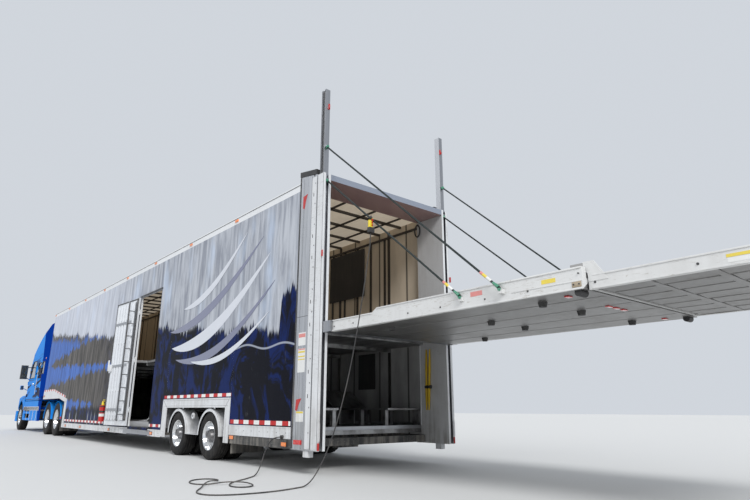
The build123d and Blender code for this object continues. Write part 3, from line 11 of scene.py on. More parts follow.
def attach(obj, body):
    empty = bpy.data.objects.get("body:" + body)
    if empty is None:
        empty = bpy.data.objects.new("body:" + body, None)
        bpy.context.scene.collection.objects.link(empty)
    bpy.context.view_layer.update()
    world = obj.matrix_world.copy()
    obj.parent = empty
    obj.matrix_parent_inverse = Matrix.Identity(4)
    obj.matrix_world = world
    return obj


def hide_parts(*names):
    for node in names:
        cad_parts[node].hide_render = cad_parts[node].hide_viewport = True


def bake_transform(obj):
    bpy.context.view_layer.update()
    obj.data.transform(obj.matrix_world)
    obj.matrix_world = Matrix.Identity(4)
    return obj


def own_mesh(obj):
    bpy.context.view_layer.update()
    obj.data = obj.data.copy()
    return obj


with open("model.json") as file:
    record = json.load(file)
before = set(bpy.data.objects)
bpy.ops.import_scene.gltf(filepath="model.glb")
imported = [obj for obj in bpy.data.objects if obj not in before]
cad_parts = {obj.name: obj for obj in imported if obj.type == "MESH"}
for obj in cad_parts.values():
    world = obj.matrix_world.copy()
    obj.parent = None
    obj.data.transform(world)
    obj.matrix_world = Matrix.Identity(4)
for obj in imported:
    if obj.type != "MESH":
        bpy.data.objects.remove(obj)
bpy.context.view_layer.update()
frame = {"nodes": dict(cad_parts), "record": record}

bl_info = {
    "name": "Car Transporter Dressing",
    "version": (1, 0, 0),
    "blender": (4, 5, 0),
    "location": "View3D > Sidebar > Transporter",
    "description": "Finishes and fittings for an enclosed car transporter",
    "category": "Object",
}

REAR_END = 7.6
NODES = frame["nodes"]
SIDES = (("left", 1), ("right", -1))
# The trailer's axles, as stations, and its wheels.
TRAILER_AXLES = (2.60, 3.95)
TRAILER_WHEEL_RADIUS = 0.385
# Outer faces, as widths off the centre line.
WALL_FACE = 1.2955
POST_FACE = 1.295
ARCH_FACE = 1.3072
CAB_FACE = 1.1905


def spot(width, station, height):
    """A point from its width off the centre line, its station from the rear posts and its height."""
    return Vector((width, REAR_END - station, height))


class Net:
    """Adds shader nodes to one tree and links them."""

    def __init__(self, tree):
        self.tree = tree

    def feed(self, socket, value):
        if isinstance(value, bpy.types.NodeSocket):
            self.tree.links.new(value, socket)
        elif value is not None:
            socket.default_value = value

    def node(self, kind, values=(), **settings):
        made = self.tree.nodes.new("ShaderNode" + kind)
        for key, value in settings.items():
            setattr(made, key, value)
        for socket, value in zip(made.inputs, values):
            self.feed(socket, value)
        return made

    def math(self, operation, *values, clamp=False):
        return self.node("Math", values, operation=operation, use_clamp=clamp).outputs[0]

    def add(self, *values, **options):
        return self.math("ADD", *values, **options)

    def less(self, value, taken):
        return self.math("SUBTRACT", value, taken)

    def times(self, *values, **options):
        return self.math("MULTIPLY", *values, **options)

    def swing(self, value, reach):
        """A mask's swing to both sides of its middle, over a reach."""
        return self.times(self.less(value, 0.5), reach)

    def within(self, value, pitch):
        """How far a value stands from the middle of its step, in shares of the pitch."""
        return self.math("ABSOLUTE", self.less(self.math("FRACT", self.math("DIVIDE", value, pitch)), 0.5))

    def mix(self, factor, first, second, blend_type="MIX"):
        node = self.node("Mix", data_type="RGBA", blend_type=blend_type, clamp_factor=True)
        self.feed(node.inputs[0], factor)
        self.feed(node.inputs[6], first)
        self.feed(node.inputs[7], second)
        return node.outputs[2]

    def between(self, value, low, high, to_low=0.0, to_high=1.0, smooth=True):
        kind = "SMOOTHSTEP" if smooth else "LINEAR"
        node = self.node("MapRange", (value, low, high, to_low, to_high), interpolation_type=kind)
        return node.outputs[0]

    def place(self):
        return self.node("TexCoord").outputs["Object"]

    def axes(self):
        """Width, station and height at the shaded point."""
        parts = self.node("SeparateXYZ", (self.place(),)).outputs
        return parts[0], self.math("SUBTRACT", REAR_END, parts[1]), parts[2]

    def scaled(self, vector, scale):
        return self.node("VectorMath", (vector, scale), operation="MULTIPLY").outputs[0]

    def joined(self, x, y, z):
        return self.node("CombineXYZ", (x, y, z)).outputs[0]

    def noise(self, vector, scale, detail=3.0, roughness=0.55, distortion=0.0):
        node = self.node("TexNoise")
        self.feed(node.inputs["Vector"], vector)
        for key, value in (("Scale", scale), ("Detail", detail), ("Roughness", roughness), ("Distortion", distortion)):
            self.feed(node.inputs[key], value)
        return node.outputs["Fac"]

    def curve(self, value, points, low, high):
        """A line through the points, read at value. The points' second numbers run from low to high."""
        first, last = points[0][0], points[-1][0]
        node = self.node("FloatCurve")
        self.feed(node.inputs[1], self.between(value, first, last, smooth=False))
        line = node.mapping.curves[0]
        scaled = [((u - first) / (last - first), (v - low) / (high - low)) for u, v in points]
        for index, (u, v) in enumerate(scaled):
            if index < 2:
                line.points[index].location = (u, v)
            else:
                line.points.new(u, v)
        for point in line.points:
            point.handle_type = "VECTOR"
        node.mapping.update()
        return self.between(node.outputs[0], 0.0, 1.0, low, high, smooth=False)

    def bump(self, height, strength, distance):
        node = self.node("Bump")
        node.inputs["Strength"].default_value = strength
        node.inputs["Distance"].default_value = distance
        self.feed(node.inputs["Height"], height)
        return node.outputs[0]

    def group(self, name, **values):
        node = self.tree.nodes.new("ShaderNodeGroup")
        node.node_tree = bpy.data.node_groups[name]
        for key, value in values.items():
            self.feed(node.inputs[key.replace("_", " ").title()], value)
        return node.outputs


def new_group(name, inputs, outputs):
    """An empty node group with named sockets: its net, its inputs and its output node."""
    tree = bpy.data.node_groups.new(name, "ShaderNodeTree")
    kinds = {"colour": "NodeSocketColor", "number": "NodeSocketFloat"}
    for label, kind, default in inputs:
        tree.interface.new_socket(label, in_out="INPUT", socket_type=kinds[kind]).default_value = default
    for label, kind in outputs:
        tree.interface.new_socket(label, in_out="OUTPUT", socket_type=kinds[kind])
    return Net(tree), tree.nodes.new("NodeGroupInput").outputs, tree.nodes.new("NodeGroupOutput").inputs


def make_groups():
    """The effects that several finishes share: road dirt, drawn metal and rubbed paint."""
    dust = (0.235, 0.215, 0.19, 1)
    net, given, out = new_group(
        "Road Film",
        [("Colour", "colour", (0.5, 0.5, 0.5, 1)), ("Roughness", "number", 0.4), ("Amount", "number", 0.5)],
        [("Colour", "colour"), ("Roughness", "number"), ("Height", "number")])
    at = net.place()
    height = net.node("SeparateXYZ", (at,)).outputs[2]
    patches = net.noise(at, 2.3, 5)
    runs = net.noise(net.scaled(at, (7.0, 7.0, 0.7)), 2.0, 3)
    low = net.between(height, 0.15, 1.5, 1.0, 0.25)
    film = net.times(net.between(net.times(patches, runs), 0.14, 0.42), low)
    film = net.times(film, given["Amount"], clamp=True)
    net.feed(out["Colour"], net.mix(film, given["Colour"], dust))
    net.feed(out["Roughness"], net.add(given["Roughness"], net.times(film, 0.35), clamp=True))
    net.feed(out["Height"], net.noise(at, 90.0, 2))

    net, given, out = new_group(
        "Brushed",
        [("Colour", "colour", (0.6, 0.6, 0.6, 1)), ("Across", "number", 60.0), ("Along", "number", 1.2),
         ("Contrast", "number", 0.3), ("Roughness", "number", 0.35)],
        [("Colour", "colour"), ("Roughness", "number"), ("Height", "number")])
    across = given["Across"]
    grain = net.noise(net.scaled(net.place(), net.joined(across, across, given["Along"])), 1.0, 4, 0.65)
    shade = net.add(1.0, net.swing(grain, given["Contrast"]))
    net.feed(out["Colour"], net.mix(1.0, given["Colour"], net.joined(shade, shade, shade), "MULTIPLY"))
    net.feed(out["Roughness"], net.add(given["Roughness"], net.swing(grain, 0.35), clamp=True))
    net.feed(out["Height"], grain)

    net, given, out = new_group(
        "Scuffs",
        [("Colour", "colour", (0.5, 0.5, 0.5, 1)), ("Bare", "colour", (0.3, 0.29, 0.27, 1)),
         ("Amount", "number", 0.3)],
        [("Colour", "colour"), ("Mask", "number")])
    at = net.place()
    fine = net.noise(net.scaled(at, (9.0, 1.6, 9.0)), 5.0, 6, 0.7, 1.2)
    spread = net.noise(at, 1.7, 3)
    worn = net.between(net.add(fine, net.times(spread, 0.35)), 0.74, 0.82)
    worn = net.times(worn, given["Amount"], clamp=True)
    net.feed(out["Colour"], net.mix(worn, given["Colour"], given["Bare"]))
    net.feed(out["Mask"], worn)


# The materials by name.
FINISHES = {}


def tone(colour, share=1.0):
    """A colour with its alpha, darker or lighter by a share."""
    return (*[min(1.0, part * share) for part in colour], 1)


def start_finish(name, **sockets):
    """A new material, its net and its shader, with the shader's even values set."""
    material = bpy.data.materials.new(name)
    material.use_nodes = True
    shader = material.node_tree.nodes["Principled BSDF"]
    for key, value in sockets.items():
        shader.inputs[key.replace("_", " ").title().replace("Ior", "IOR")].default_value = value
    FINISHES[name] = material
    return Net(material.node_tree), shader.inputs


def surface(net, sockets, colour, roughness, relief=None):
    """Feeds a shader's colour and roughness, and its relief given as height, strength and distance."""
    net.feed(sockets["Base Color"], colour)
    net.feed(sockets["Roughness"], roughness)
    if relief:
        net.feed(sockets["Normal"], net.bump(*relief))


def paint(name, colour, roughness=0.3, film=0.35, scuffs=0.0, coat=0.6, bare=(0.30, 0.29, 0.27, 1), **extra):
    """A sprayed finish with road film and, where asked, rubbed places."""
    net, sockets = start_finish(name, coat_weight=coat, coat_roughness=0.08, **extra)
    shade = net.mix(net.noise(net.place(), 1.3, 3), tone(colour, 0.93), tone(colour))
    rubbed = net.group("Scuffs", colour=shade, amount=scuffs, bare=bare)
    grime = net.group("Road Film", colour=rubbed["Colour"], roughness=roughness, amount=film)
    surface(net, sockets, grime["Colour"], grime["Roughness"], (grime["Height"], 0.05, 0.002))


def metal(name, colour, roughness=0.32, contrast=0.3, film=0.3, across=60.0, along=1.2, **extra):
    """Rolled or drawn metal with its grain."""
    net, sockets = start_finish(name, metallic=1.0, **extra)
    grain = net.group("Brushed", colour=tone(colour), across=across, along=along, contrast=contrast,
                      roughness=roughness)
    grime = net.group("Road Film", colour=grain["Colour"], roughness=grain["Roughness"], amount=film)
    surface(net, sockets, grime["Colour"], grime["Roughness"], (grain["Height"], 0.12, 0.001))


def moulded(name, colour, roughness=0.55, grain=220.0, film=0.35, depth=0.15, **extra):
    """Rubber or moulded plastic with a fine pebble."""
    net, sockets = start_finish(name, **extra)
    pebble = net.noise(net.place(), grain, 2)
    shade = net.mix(pebble, tone(colour, 0.75), tone(colour, 1.2))
    grime = net.group("Road Film", colour=shade, roughness=roughness, amount=film)
    surface(net, sockets, grime["Colour"], grime["Roughness"], (pebble, depth, 0.002))


def lens(name, colour, glow=0.0):
    """A ribbed lamp lens."""
    net, sockets = start_finish(name, coat_weight=1.0, coat_roughness=0.03, emission_strength=glow)
    at = net.place()
    cells = net.math("SINE", net.times(net.node("SeparateXYZ", (at,)).outputs[1], 420.0))
    shade = net.mix(net.between(cells, -1, 1), tone(colour, 0.6), tone(colour))
    net.feed(sockets["Base Color"], shade)
    net.feed(sockets["Emission Color"], shade)
    net.feed(sockets["Roughness"], net.between(net.noise(at, 40, 2), 0.2, 0.8, 0.12, 0.3))
    net.feed(sockets["Normal"], net.bump(cells, 0.3, 0.001))


def headlamp():
    """A clear cover over two round reflectors in a dark surround."""
    lamp_width, lamp_height, half_spacing, dish_radius = 0.845, 1.06, 0.098, 0.070
    net, sockets = start_finish("headlamp", coat_weight=1.0, coat_roughness=0.03)
    width, _, height = net.axes()
    aside = net.less(net.math("ABSOLUTE", width), lamp_width)
    across = net.less(net.math("ABSOLUTE", aside), half_spacing)
    up = net.less(height, lamp_height)
    radius = net.math("SQRT", net.add(net.times(across, across), net.times(up, up)))
    dish = net.between(radius, dish_radius, dish_radius + 0.005, 1.0, 0.0)
    rings = net.math("SINE", net.times(radius, 300.0))
    bright = net.mix(net.between(rings, -1, 1), (0.55, 0.57, 0.60, 1), (0.86, 0.88, 0.92, 1))
    surface(net, sockets, net.mix(dish, (0.045, 0.048, 0.055, 1), bright), net.between(rings, -1, 1, 0.10, 0.28),
            (net.times(rings, dish), 0.3, 0.002))


def colour_setting(name, description, default):
    """A colour that the user can change."""
    return FloatVectorProperty(name=name, description=description, subtype="COLOR", size=3, default=default,
                               min=0, max=1)


class ArtworkColours(bpy.types.PropertyGroup):
    """Colours of the painted sides."""
    silver: colour_setting("Silver", "Light streaks on the upper sides", (0.46, 0.48, 0.52))
    streak: colour_setting("Streak", "Grey streaks on the upper sides", (0.23, 0.245, 0.285))
    navy: colour_setting("Navy", "Blue patches on the dark lower sides", (0.006, 0.016, 0.085))
    black: colour_setting("Black", "Dark lower sides", (0.005, 0.0055, 0.010))
    band: colour_setting("Bands", "Blue bands towards the front", (0.055, 0.130, 0.40))
    stone: colour_setting("Stone", "Grey-brown between the bands", (0.085, 0.078, 0.072))


class StageSettings(bpy.types.PropertyGroup):
    """Floor, light and camera."""
    floor_size: FloatProperty(name="Floor", description="Width of the floor", default=160.0, min=50, unit="LENGTH")
    floor_colour: colour_setting("Floor colour", "Colour of the floor", (0.62, 0.62, 0.61))
    eye_height: FloatProperty(name="Eye height", description="Height of the camera over the floor",
                              default=0.82, min=0.1, unit="LENGTH")
    lens: FloatProperty(name="Lens", description="Focal length on a 36 mm sensor", default=26.93, min=10,
                        unit="CAMERA")


# Where the silver ends, as stations and heights, and the blue bands, as stations with their upper and lower edges.
SILVER_EDGE = ((0.0, 2.46), (0.40, 2.47), (0.43, 1.96), (1.65, 2.04), (2.9, 2.15), (4.3, 2.33), (5.5, 2.46),
               (8.8, 2.61), (12.0, 2.95), (16.0, 3.33))
BANDS = (
    ((9.4, 2.72, 2.70), (10.6, 2.86, 2.72), (11.8, 2.98, 2.66), (13.2, 3.08, 2.52), (14.6, 3.18, 2.38),
     (16.0, 3.26, 2.22)),
    ((8.4, 1.88, 1.86), (9.8, 1.96, 1.82), (11.4, 2.04, 1.76), (13.2, 2.12, 1.66), (14.8, 2.16, 1.56),
     (16.0, 2.17, 1.48)),
    ((9.8, 0.94, 0.92), (10.6, 1.00, 0.88), (11.6, 1.04, 0.86), (12.8, 1.06, 0.84), (13.6, 1.10, 0.84)),
)


def paint_livery(colours):
    """The painted sides: silver streaks running down into black and navy, with blue bands towards the front."""
    sheet_width, heights = 1.22, (0.0, 4.0)
    net, sockets = start_finish("livery", specular_ior_level=0.04)
    _, station, height = net.axes()
    fine = net.noise(net.joined(station, 0.0, 0.0), 14.0, 4, 0.7)
    wide = net.noise(net.joined(station, 3.0, 0.0), 2.1, 3, 0.6)
    mid = net.noise(net.joined(station, 9.0, 0.0), 4.4, 2, 0.5)
    streaks = net.noise(net.joined(net.times(station, 7.0), 0.0, net.times(height, 0.8)),
                        1.0, 5, 0.62, 0.4)
    silver = net.mix(net.between(streaks, 0.32, 0.66), tone(colours.streak), tone(colours.silver))
    # The silver is bluer in places and paler towards the front.
    tint = net.noise(net.joined(net.times(station, 1.6), 7.0, net.times(height, 0.5)), 1.0, 3)
    silver = net.mix(net.between(tint, 0.52, 0.72, 0.0, 0.6), silver, (0.50, 0.60, 0.76, 1))
    silver = net.mix(net.between(station, 6.0, 11.0, 0.0, 0.42), silver, (0.74, 0.77, 0.86, 1))

    # Below it lie black and navy patches, with stone grey between them towards the front.
    swirl = net.noise(net.joined(net.times(station, 2.4), 0.0, net.times(height, 1.5)),
                      1.0, 4, 0.6, 1.6)
    deep = net.mix(net.between(swirl, 0.47, 0.60), tone(colours.black), tone(colours.navy))
    # Pale grey flecks in the dark paint are painted glints.
    painted_glint = net.noise(net.joined(net.times(station, 5.0), 2.0, net.times(height, 2.2)),
                      1.0, 4, 0.6, 2.0)
    deep = net.mix(net.between(painted_glint, 0.66, 0.74, 0.0, 0.30), deep, (0.10, 0.105, 0.12, 1))

    stone = net.mix(net.between(streaks, 0.35, 0.7), tone(colours.stone, 0.5),
                    tone(colours.stone, 1.7))
    forward = net.between(station, 6.6, 10.0)
    patches = net.between(net.add(swirl, net.times(forward, 0.22)), 0.50, 0.60)
    lower = net.mix(patches, deep, net.mix(forward, deep, stone))
    # Ragged dark and pale feet run along the lower edge.
    feet = net.between(net.add(height, net.swing(fine, 1.1)), 0.80, 0.90,
                       1.0, 0.0)
    feet = net.times(feet, net.between(station, 6.6, 7.4))
    pale = net.times(net.between(mid, 0.58, 0.62), net.between(height, 0.62, 0.80, 0.75, 0.0))
    lower = net.mix(feet, lower, net.mix(pale, deep, (0.34, 0.35, 0.36, 1)))
    for band in BANDS:
        top = net.curve(station, [(s, high) for s, high, _ in band], *heights)
        low = net.curve(station, [(s, under) for s, _, under in band], *heights)
        ragged = net.add(net.swing(fine, 0.40),
                          net.swing(mid, 0.62))
        above = net.less(net.add(height, ragged), low)
        below = net.less(net.add(top, net.times(ragged, 0.8)), height)
        inside = net.between(net.math("MINIMUM", above, below), -0.012, 0.012)
        started = net.between(station, band[0][0] - 0.1, band[0][0] + 0.2)
        ended = net.between(station, band[-1][0] + 0.02, band[-1][0] + 0.12, 1.0, 0.0)
        inside = net.times(inside, net.times(started, ended))
        hue = net.mix(net.between(streaks, 0.3, 0.7), tone(colours.band, 0.7),
                      tone(colours.band, 1.35))
        lower = net.mix(inside, lower, hue)

    # The silver's lower edge runs down in drips, with a dark ledge under it and a thin dark line along it.
    edge = net.curve(station, SILVER_EDGE, *heights)
    drips = net.add(net.swing(fine, 0.75),
                     net.swing(wide, 0.55))
    over = net.less(height, net.add(edge, drips))
    ledge = net.add(over, net.swing(streaks, 0.7))
    ledge = net.times(net.between(ledge, -0.17, -0.13), net.between(station, 10.5, 12.0))
    lower = net.mix(ledge, lower, stone)
    line = net.less(1.0, net.between(net.math("ABSOLUTE", over), 0.0, 0.05))
    body = net.mix(net.between(over, -0.015, 0.02), lower, silver)
    body = net.mix(net.times(line, 0.55), body, (0.03, 0.03, 0.035, 1))
    # A thin pale wave crosses the tail.
    ripple = net.times(net.math("SINE", net.times(station, 5.6)), 0.035)
    climb = net.add(net.times(station, 0.05), 1.69)
    crest = net.less(height, net.add(ripple, climb))
    wave = net.less(1.0, net.between(net.math("ABSOLUTE", crest), 0.006, 0.022))
    wave = net.times(wave, net.between(station, 1.7, 2.2, 1.0, 0.0))
    body = net.mix(net.times(wave, 0.7), body, (0.42, 0.45, 0.52, 1))
    grime = net.group("Road Film", colour=body, roughness=0.36, amount=0.012)
    surface(net, sockets, grime["Colour"], grime["Roughness"])
    seams = net.within(station, sheet_width)
    buckle = net.noise(net.joined(net.times(station, 1.4), 0.0, height), 1.0, 2)
    groove = net.times(net.between(seams, 0.0, 0.006), 0.12)
    net.feed(sockets["Normal"], net.bump(net.add(buckle, groove), 0.25, 0.012))


def lining(name, colour, lower, rib, pitch):
    """Inside panels with upright joints at a pitch, in metres, with painted shade below the upper deck: a darker lower
    colour there.
    """
    net, sockets = start_finish(name, specular_ior_level=0.2)
    joint_width, deck_top = 0.035, 1.90
    _, station, height = net.axes()
    joint = net.between(net.within(station, pitch), 0.0, joint_width / pitch, 1.0, 0.0)
    stain = net.noise(net.scaled(net.place(), (2.0, 2.0, 0.6)), 1.5, 5)
    shade = net.mix(net.between(stain, 0.3, 0.7), tone(colour, 0.8), tone(colour))
    # Below the upper deck the panels take the darker lower colour, with its stains: painted shade under the deck.
    dark = net.mix(net.between(stain, 0.3, 0.7), tone(lower, 0.6), tone(lower))
    shade = net.mix(net.between(height, deck_top - 0.02, deck_top), dark, shade)
    shade = net.mix(joint, shade, tone(rib))
    surface(net, sockets, shade, net.between(stain, 0.2, 0.8, 0.5, 0.75), (joint, 0.4, 0.004))


def azure_paint():
    """Bright blue cab paint with ragged black flames along the sides and deep blue on the roof's rear fin."""
    fin_foot, fin_lean, fin_rear = 17.05, 0.23, 16.40
    net, sockets = start_finish("azure", coat_roughness=0.05, specular_ior_level=0.0)
    width, station, height = net.axes()
    climbing = net.add(height, net.times(station, 0.12))
    wave = net.noise(net.joined(net.times(station, 0.55), 4.0, net.times(climbing, 4.2)),
                     1.0, 3, 0.55, 0.35)
    sides = net.between(net.math("ABSOLUTE", width), 0.96, 1.02)
    zone = net.times(net.between(height, 1.05, 1.3), net.between(height, 2.3, 3.0, 1.0, 0.0))
    zone = net.times(zone, net.between(station, 20.0, 20.8, 1.0, 0.0))
    stripe = net.times(net.between(wave, 0.515, 0.535), net.times(sides, zone))
    blue = net.mix(net.noise(net.place(), 1.0, 2), (0.012, 0.19, 0.62, 1), (0.018, 0.26, 0.74, 1))
    shade = net.mix(stripe, blue, (0.010, 0.016, 0.05, 1))
    fin_edge = net.add(net.times(height, fin_lean), fin_foot)
    fin = net.between(net.less(station, fin_edge), -0.004, 0.004, 1.0, 0.0)
    shade = net.mix(net.times(fin, net.between(station, fin_rear, fin_rear + 0.02)), shade, (0.003, 0.035, 0.26, 1))
    net.feed(sockets["Coat Weight"], net.times(net.less(1.0, fin), 0.22))
    grime = net.group("Road Film", colour=shade, roughness=0.26, amount=0.02)
    surface(net, sockets, grime["Colour"], grime["Roughness"], (grime["Height"], 0.03, 0.001))


def glass(name, tint):
    """Tinted pane: it passes some light and mirrors the sky, with a faint dust film."""
    net, sockets = start_finish(name, transmission_weight=0.75, ior=1.45, coat_weight=1.0, coat_roughness=0.02)
    dust = net.noise(net.place(), 3.0, 4)
    dusty = net.mix(net.between(dust, 0.4, 0.8, 0, 0.3), tone(tint), (0.3, 0.31, 0.31, 1))
    surface(net, sockets, dusty, net.between(dust, 0.3, 0.8, 0.03, 0.14))


def cloth(name, colour):
    """Woven seat cover."""
    net, sockets = start_finish(name, sheen_weight=0.3, roughness=0.85)
    at = net.node("SeparateXYZ", (net.place(),)).outputs
    warp = net.math("SINE", net.times(net.add(at[0], at[1]), 900.0))
    weft = net.math("SINE", net.times(net.add(at[2], at[1]), 900.0))
    weave = net.times(warp, weft)
    net.feed(sockets["Base Color"], net.mix(net.between(weave, -1, 1), tone(colour, 0.6), tone(colour)))
    net.feed(sockets["Normal"], net.bump(weave, 0.3, 0.001))


def plate_floor():
    """Worn tread plate with raised lozenges."""
    net, sockets = start_finish("floor_plate", metallic=0.85)
    at = net.place()
    brick = net.node("TexVoronoi", feature="F1", distance="MANHATTAN")
    net.feed(brick.inputs["Vector"], net.scaled(at, (1.0, 0.55, 1.0)))
    brick.inputs["Scale"].default_value = 26.0
    raised = net.between(brick.outputs["Distance"], 0.28, 0.36, 1.0, 0.0)
    grain = net.group("Brushed", colour=(0.40, 0.40, 0.40, 1), across=25.0, along=25.0, contrast=0.7,
                      roughness=0.42)
    tracks = net.noise(net.scaled(at, (3.0, 0.35, 3.0)), 1.4, 4)
    shade = net.mix(net.between(tracks, 0.38, 0.7, 0, 0.75), grain["Colour"], (0.09, 0.085, 0.08, 1))
    surface(net, sockets, shade, grain["Roughness"], (raised, 0.5, 0.002))


def white_skin(name, colour, film=0.45, scuffs=0.6):
    """White-painted aluminium, rubbed through and stained where loads pass."""
    paint(name, colour, roughness=0.38, film=film, scuffs=scuffs, coat=0.2, bare=(0.36, 0.33, 0.29, 1))


def roof_skin():
    """Translucent roof: pale outside, and from inside a beige colour and glow painted as the daylight coming through,
    over the fibre's grain and stains.
    """
    net, sockets = start_finish("roof_paint", emission_strength=0.32)
    at = net.place()
    parts = net.node("SeparateXYZ", (net.node("NewGeometry").outputs["Normal"],)).outputs
    under = net.between(parts[2], -0.2, -0.6)
    fibre = net.noise(net.scaled(at, (14.0, 1.2, 1.0)), 3.0, 5, 0.7)
    # Underneath, the beige colour is painted daylight shining through the fibre; the fibre's grain and the stains are
    # its own.
    daylit_fibre = net.mix(fibre, (0.62, 0.52, 0.40, 1), (0.86, 0.77, 0.62, 1))
    stain = net.noise(at, 0.9, 4)
    daylit_fibre = net.mix(net.between(stain, 0.5, 0.8, 0, 0.3), daylit_fibre, (0.45, 0.36, 0.26, 1))
    pale = net.mix(stain, (0.60, 0.61, 0.62, 1), (0.74, 0.75, 0.76, 1))
    net.feed(sockets["Base Color"], net.mix(under, pale, daylit_fibre))
    # The underside's glow is painted daylight coming through the roof.
    net.feed(sockets["Emission Color"], net.mix(under, (0, 0, 0, 1), daylit_fibre))
    net.feed(sockets["Roughness"], net.between(fibre, 0.2, 0.8, 0.45, 0.7))
    net.feed(sockets["Normal"], net.bump(fibre, 0.15, 0.002))


def striped_tape():
    """Red and white reflective tape in even lengths."""
    pitch = 0.32
    net, sockets = start_finish("tape", coat_weight=0.1, coat_roughness=0.1, specular_ior_level=0.2)
    red = net.between(net.within(net.axes()[1], pitch), 0.245, 0.255, smooth=False)
    cells = net.node("TexVoronoi", feature="DISTANCE_TO_EDGE")
    net.feed(cells.inputs["Vector"], net.place())
    cells.inputs["Scale"].default_value = 260.0
    shine = net.between(cells.outputs["Distance"], 0.0, 0.2)
    shade = net.mix(red, (0.50, 0.012, 0.012, 1), (0.80, 0.80, 0.78, 1))
    grime = net.group("Road Film", colour=net.mix(0.15, shade, net.mix(shine, (0, 0, 0, 1), shade)),
                      roughness=0.3, amount=0.06)
    surface(net, sockets, grime["Colour"], grime["Roughness"])


def make_finishes(colours):
    """Every finish of the part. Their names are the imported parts' slots, and more for the pieces added here."""
    make_groups()
    paint_livery(colours)
    # The lining's lower colour is painted shade under the upper deck.
    lining("lining", (0.68, 0.58, 0.45), lower=(0.40, 0.395, 0.39), rib=(0.05, 0.045, 0.04), pitch=0.75)
    roof_skin()
    striped_tape()
    azure_paint()
    headlamp()
    plate_floor()
    metal("bow", (0.10, 0.092, 0.085), roughness=0.5, contrast=0.35, film=0.3, across=25, along=25)
    paint("black_frame", (0.016, 0.016, 0.018), roughness=0.42, film=0.75, scuffs=0.3, coat=0.2)
    metal("post_metal", (0.52, 0.53, 0.55), roughness=0.30, contrast=0.9, film=0.35, across=45.0, along=0.6)
    moulded("black_plastic", (0.018, 0.018, 0.019), roughness=0.5)
    paint("header_paint", (0.22, 0.25, 0.31), roughness=0.4, film=0.3, scuffs=0.2, coat=0.1)
    metal("bright_trim", (0.82, 0.83, 0.85), roughness=0.14, contrast=0.12, film=0.22, across=18.0, along=0.8)
    paint("rail_white", (0.66, 0.67, 0.68), roughness=0.3, film=0.5, scuffs=0.35, coat=0.4)
    paint("axle_black", (0.018, 0.018, 0.018), roughness=0.55, film=0.9, scuffs=0.3, coat=0.1)
    white_skin("door_white", (0.68, 0.70, 0.73), film=0.35, scuffs=0.25)
    metal("ladder_metal", (0.42, 0.43, 0.45), roughness=0.35, contrast=0.3, film=0.2)
    paint("safety_red", (0.46, 0.010, 0.008), roughness=0.35, film=0.10, scuffs=0.0, coat=0.1)
    lens("lamp", (0.90, 0.22, 0.02), glow=0.12)
    lens("lamp_red", (0.62, 0.012, 0.010), glow=0.10)
    metal("mast_metal", (0.36, 0.37, 0.39), roughness=0.33, contrast=0.5, film=0.25, across=50.0, along=0.5)
    metal("cable", (0.045, 0.055, 0.055), roughness=0.5, contrast=0.5, film=0.3, across=90, along=90)
    white_skin("platform_white", (0.64, 0.64, 0.63))
    metal("platform_metal", (0.30, 0.295, 0.29), roughness=0.42, contrast=0.9, film=0.7, across=8.0, along=8.0)
    moulded("tyre", (0.010, 0.010, 0.0105), roughness=0.78, grain=140.0, film=0.14,
            depth=0.25, specular_ior_level=0.25)
    metal("cast", (0.09, 0.09, 0.09), roughness=0.6, contrast=0.4, film=0.7, across=80, along=80)
    glass("window", (0.10, 0.12, 0.13))
    cloth("cloth_seat", (0.06, 0.06, 0.065))
    moulded("dash_plastic", (0.045, 0.045, 0.05), roughness=0.6, grain=160.0, film=0.2)
    lens("lens", (0.80, 0.82, 0.85), glow=0.05)
    metal("chrome", (0.86, 0.87, 0.89), roughness=0.07, contrast=0.08, film=0.12, across=10.0, along=10.0)
    moulded("pendant_yellow", (0.72, 0.55, 0.02), roughness=0.42, grain=120.0, film=0.3)
    moulded("cord_rubber", (0.020, 0.020, 0.021), roughness=0.6, grain=300.0, film=0.5)
    moulded("webbing", (0.55, 0.36, 0.02), roughness=0.8, grain=500.0, film=0.3, depth=0.4)
    paint("hook_green", (0.02, 0.22, 0.12), roughness=0.4, film=0.4, scuffs=0.4)
    paint("label_white", (0.72, 0.72, 0.70), roughness=0.45, film=0.35)
    paint("label_yellow", (0.72, 0.55, 0.03), roughness=0.45, film=0.35)
    paint("label_pink", (0.66, 0.22, 0.20), roughness=0.45, film=0.35)
    metal("rim_polished", (0.84, 0.85, 0.86), roughness=0.12, contrast=0.10, film=0.30, across=14.0, along=14.0)
    metal("hub_grey", (0.20, 0.20, 0.205), roughness=0.42, contrast=0.4, film=0.5, across=40.0, along=40.0)
    white_skin("art_ribbon", (0.62, 0.64, 0.69), film=0.1, scuffs=0.0)
    paint("art_shade", (0.16, 0.17, 0.26), roughness=0.25, film=0.1)
    paint("bracket_tan", (0.34, 0.27, 0.18), roughness=0.5, film=0.7, scuffs=0.6)
    paint("visor_brown", (0.34, 0.21, 0.20), roughness=0.6, film=0.2)
    paint("post_lining", (0.52, 0.52, 0.52), roughness=0.5, film=0.8, scuffs=0.3, coat=0.0)


def dress(node, finish):
    """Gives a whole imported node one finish."""
    target = NODES[node].data
    target.materials.clear()
    target.materials.append(FINISHES[finish])
    for face in target.polygons:
        face.material_index = 0


def dress_where(node, finish, test):
    """Gives the node's faces that pass the test another finish."""
    target = NODES[node].data
    target.materials.append(FINISHES[finish])
    index = len(target.materials) - 1
    for face in target.polygons:
        if test(face.center, face.normal):
            face.material_index = index


